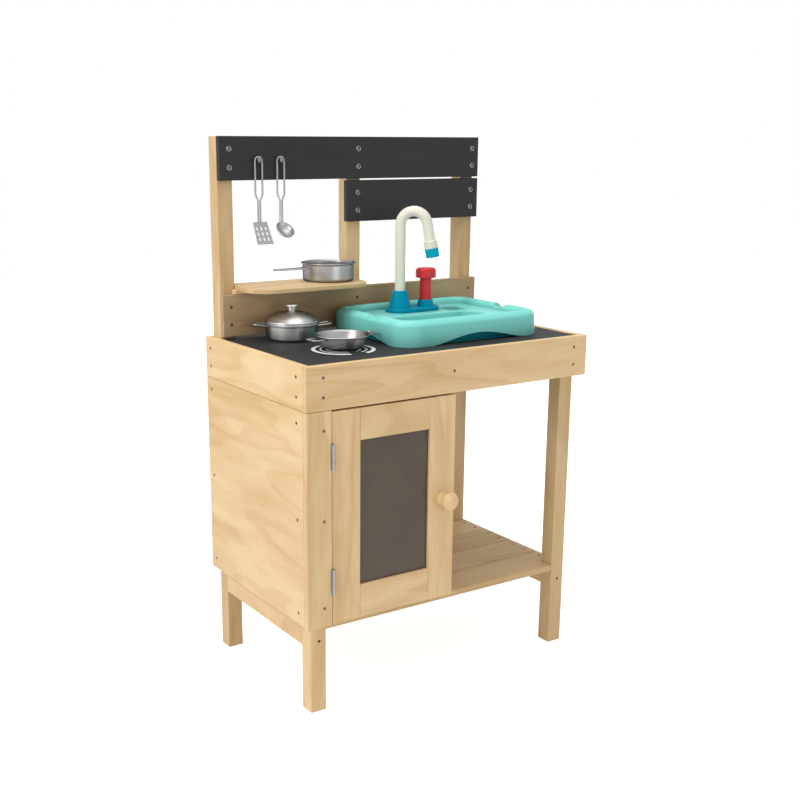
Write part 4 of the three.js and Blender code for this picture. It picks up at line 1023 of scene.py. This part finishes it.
def flare(foot, top):
    """A quarter of an ellipse that leaves one point upright and reaches another level."""
    angles = [math.pi / 2 * i / CURVE_STEPS for i in range(CURVE_STEPS + 1)]
    out, up = top[0] - foot[0], top[1] - foot[1]
    return [(top[0] - out * math.cos(a), foot[1] + up * math.sin(a)) for a in angles]


def pan_profile(base, neck, heel, rim, bottom, top):
    """A spun pan: flat bottom, round heel, wall, a lip that flares to a bead, and the inside to match."""
    neck_height = top - BEAD_RADIUS * 2 - LIP_RISE
    lean = math.degrees(math.atan2(neck - base, neck_height - bottom - heel))
    centre = (base - heel, bottom + heel)
    outer_heel = arc(centre, heel, -90, -lean)
    outer_lip = flare((neck, neck_height), (rim - BEAD_RADIUS, top - BEAD_RADIUS * 2))
    bead = arc((rim - BEAD_RADIUS, top - BEAD_RADIUS), BEAD_RADIUS, -90, 180)
    inner_lip = flare((neck - WALL, neck_height), (rim - BEAD_RADIUS * 2, top - BEAD_RADIUS))
    inner_heel = arc(centre, heel - WALL, -lean, -90)
    inside = [*reversed(inner_lip[:-1]), *inner_heel, (0, bottom + WALL)]
    return [(0, bottom), *outer_heel, *outer_lip[:-1], *bead, *inside]


def make_pan(name):
    bottom, top = levels_of(name)
    profile = pan_profile(**PAN_SIZES[name], rim=radius_of(name), bottom=bottom, top=top)
    steel = turned_steel(name + "_steel", middle_of(name), **PAN_FINISHES[name])
    turn_piece(name, profile, steel, PAN_SMOOTH_ANGLE)


def dome(radius, spring, top):
    """Points of the lid's dome from its edge to the flat seat of the knob."""
    reach = radius - LID_SEAT
    rise = top - spring
    shares = [1 - i / LID_STEPS for i in range(LID_STEPS + 1)]
    return [(LID_SEAT + reach * part, spring + rise * (1 - part**LID_FULLNESS)) for part in shares]


def make_lid():
    """A domed lid with a bead and a ring round its edge and a skirt that seats in the pot."""
    radius = radius_of("pot_lid")
    foot, top = levels_of("pot_lid")
    flange = levels_of("pot_pan")[1]
    spring = flange + LID_EDGE
    shoulder = radius - LID_RING
    outside = dome(shoulder, spring, top)
    inside = dome(shoulder - WALL * 2, spring - WALL, top - WALL)
    bead_centre = (radius - BEAD_RADIUS, flange + BEAD_RADIUS)
    bead = arc(bead_centre, BEAD_RADIUS, -90, LID_BEAD_END)
    groove = (radius - LID_GROOVE, flange + BEAD_RADIUS * 2)
    ring = arc((shoulder, spring - LID_RING), LID_RING, LID_RING_START, LID_RING_END)
    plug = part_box("pot_pan")[1][0] - middle_of("pot_pan")[0] - BEAD_RADIUS * 2 - WALL
    skirt = [(plug - WALL, flange), (plug - WALL, foot), (plug, foot), (plug, flange)]
    outer = [*bead, groove, *ring, *outside[1:], (0, top)]
    profile = [(0, top - WALL), *reversed(inside), *skirt, *outer]
    steel = turned_steel("pot_lid_steel", middle_of("pot_lid"), **LID_FINISH)
    turn_piece("pot_lid", profile, steel, PAN_SMOOTH_ANGLE)


def make_knob():
    """The lid's knob: a foot that widens upward to a cap with round edges."""
    radius = radius_of("pot_lid_knob")
    foot, top = levels_of("pot_lid_knob")
    neck = foot + (top - foot) * KNOB_NECK_LEVEL
    stem = [(0, foot), (radius * KNOB_FOOT, foot), (radius * KNOB_NECK, neck)]
    cap = [*corner_under(radius, neck, KNOB_EDGE), *corner_over(radius, top, KNOB_EDGE), (0, top)]
    turn_piece("pot_lid_knob", stem + cap, knob_steel)


def make_plunger():
    """The pump's stem and its cap, which has a full round on its top edge."""
    radius = radius_of("pump_plunger")
    foot, top = levels_of("pump_plunger")
    neck = top - PUMP_CAP_HEIGHT
    stem = [(0, foot), *corner_under(PLUNGER_RADIUS, foot, PUMP_EDGE), (PLUNGER_RADIUS, neck)]
    cap = [*corner_under(radius, neck, PUMP_EDGE), *corner_over(radius, top, PUMP_CAP_ROUND), (0, top)]
    turn_piece("pump_plunger", stem + cap, red)


for pan_name in PAN_SIZES:
    make_pan(pan_name)
make_lid()
make_knob()
make_plunger()


# Hob rings


def ring_arc(bm, centre, radii, start, end, bottom):
    """A flat arc of ink with a real edge."""
    steps = max(2, round((end - start) / RING_STEP))
    middle = kitchen(*centre, bottom)
    lift = Vector((0, 0, RING_INK))
    loops = []
    for i in range(steps + 1):
        angle = math.radians(start + (end - start) * i / steps)
        across = Vector((math.cos(angle), math.sin(angle), 0))
        inner, outer = (middle + across * radius for radius in radii)
        loops.append([bm.verts.new(p) for p in (inner, outer, outer + lift, inner + lift)])
    for before, after in zip(loops, loops[1:]):
        for i in range(4):
            bm.faces.new((before[i], before[(i + 1) % 4], after[(i + 1) % 4], after[i]))
    bm.faces.new(loops[0])
    bm.faces.new(reversed(loops[-1]))


def make_hob(name, centre, radius):
    """Three broken rings, open at the front and at the back."""
    bm = bmesh.new()
    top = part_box("worktop_panel")[1][2]
    for band in RING_BAND_SHARES:
        radii = [radius * part for part in band]
        for middle in (0, 180):
            ring_arc(bm, centre, radii, middle - 90 + RING_GAP, middle + 90 - RING_GAP, top)
    new_piece(name, mesh_from(outward(bm), name), ink, "frame")


make_hob("hob_ring_front", RING_CENTRE_PAN, RING_RADIUS_PAN)
make_hob("hob_ring_back", RING_CENTRE_POT, RING_RADIUS_POT)


# World, floor, lights and camera


def seen_directly(tree):
    """1 for rays that make up the picture: from the camera, off gloss or through clear pieces."""
    path = node(tree, "ShaderNodeLightPath")
    total = path.outputs["Is Camera Ray"]
    for name in ("Is Glossy Ray", "Is Transmission Ray"):
        add = node(tree, "ShaderNodeMath", operation="MAXIMUM")
        tree.links.new(total, add.inputs[0])
        tree.links.new(path.outputs[name], add.inputs[1])
        total = add.outputs[0]
    return total


def make_world():
    """A world that shows white and lights the kitchen less than that."""
    world = bpy.data.worlds.new("studio")
    world.use_nodes = True
    bpy.context.scene.world = world
    tree = world.node_tree
    background = tree.nodes["Background"]
    strength = remap(tree, seen_directly(tree), WORLD_LIGHT, 1.0)
    tree.links.new(strength, background.inputs["Strength"])
    background.inputs["Color"].default_value = (*WHITE, 1)


def make_floor():
    """A grey floor that takes soft shadows and glows where it is seen, so that it shows white."""
    bm = bmesh.new()
    bmesh.ops.create_grid(bm, x_segments=FLOOR_SQUARES, y_segments=FLOOR_SQUARES, size=FLOOR_SIZE / 2)
    bmesh.ops.translate(bm, vec=(0, 0, -FLOOR_DROP), verts=bm.verts[:])
    floor = add_object("floor", mesh_from(bm, "floor"))
    material, tree, shader = new_material("studio_floor")
    shader.inputs["Base Color"].default_value = (*grey(FLOOR_GREY), 1)
    shader.inputs["Roughness"].default_value = FLOOR_ROUGHNESS
    shader.inputs["Specular IOR Level"].default_value = 0.0
    shader.inputs["Emission Color"].default_value = (*WHITE, 1)
    glow = remap(tree, seen_directly(tree), 0.0, FLOOR_GLOW)
    tree.links.new(glow, shader.inputs["Emission Strength"])
    floor.data.materials.append(material)


def add_area_light(name, place, target, size, power, colour):
    data = bpy.data.lights.new(name, "AREA")
    data.shape = "DISK"
    data.size = size
    data.energy = power
    data.color = colour
    made = add_object(name, data)
    made.location = place
    made.rotation_euler = (Vector(target) - Vector(place)).to_track_quat("-Z", "Y").to_euler()


def make_camera():
    data = bpy.data.cameras.new("camera")
    data.lens = CAMERA_LENS
    data.shift_x, data.shift_y = CAMERA_SHIFT
    camera = add_object("camera", data)
    camera.location = CAMERA_PLACE
    camera.rotation_euler = (math.radians(90 + CAMERA_TILT), 0, math.radians(CAMERA_HEADING))
    bpy.context.scene.camera = camera


make_world()
make_floor()
for light_name, settings in LIGHTS.items():
    add_area_light(light_name, **settings)
make_camera()
bpy.context.scene.view_settings.view_transform = "Standard"
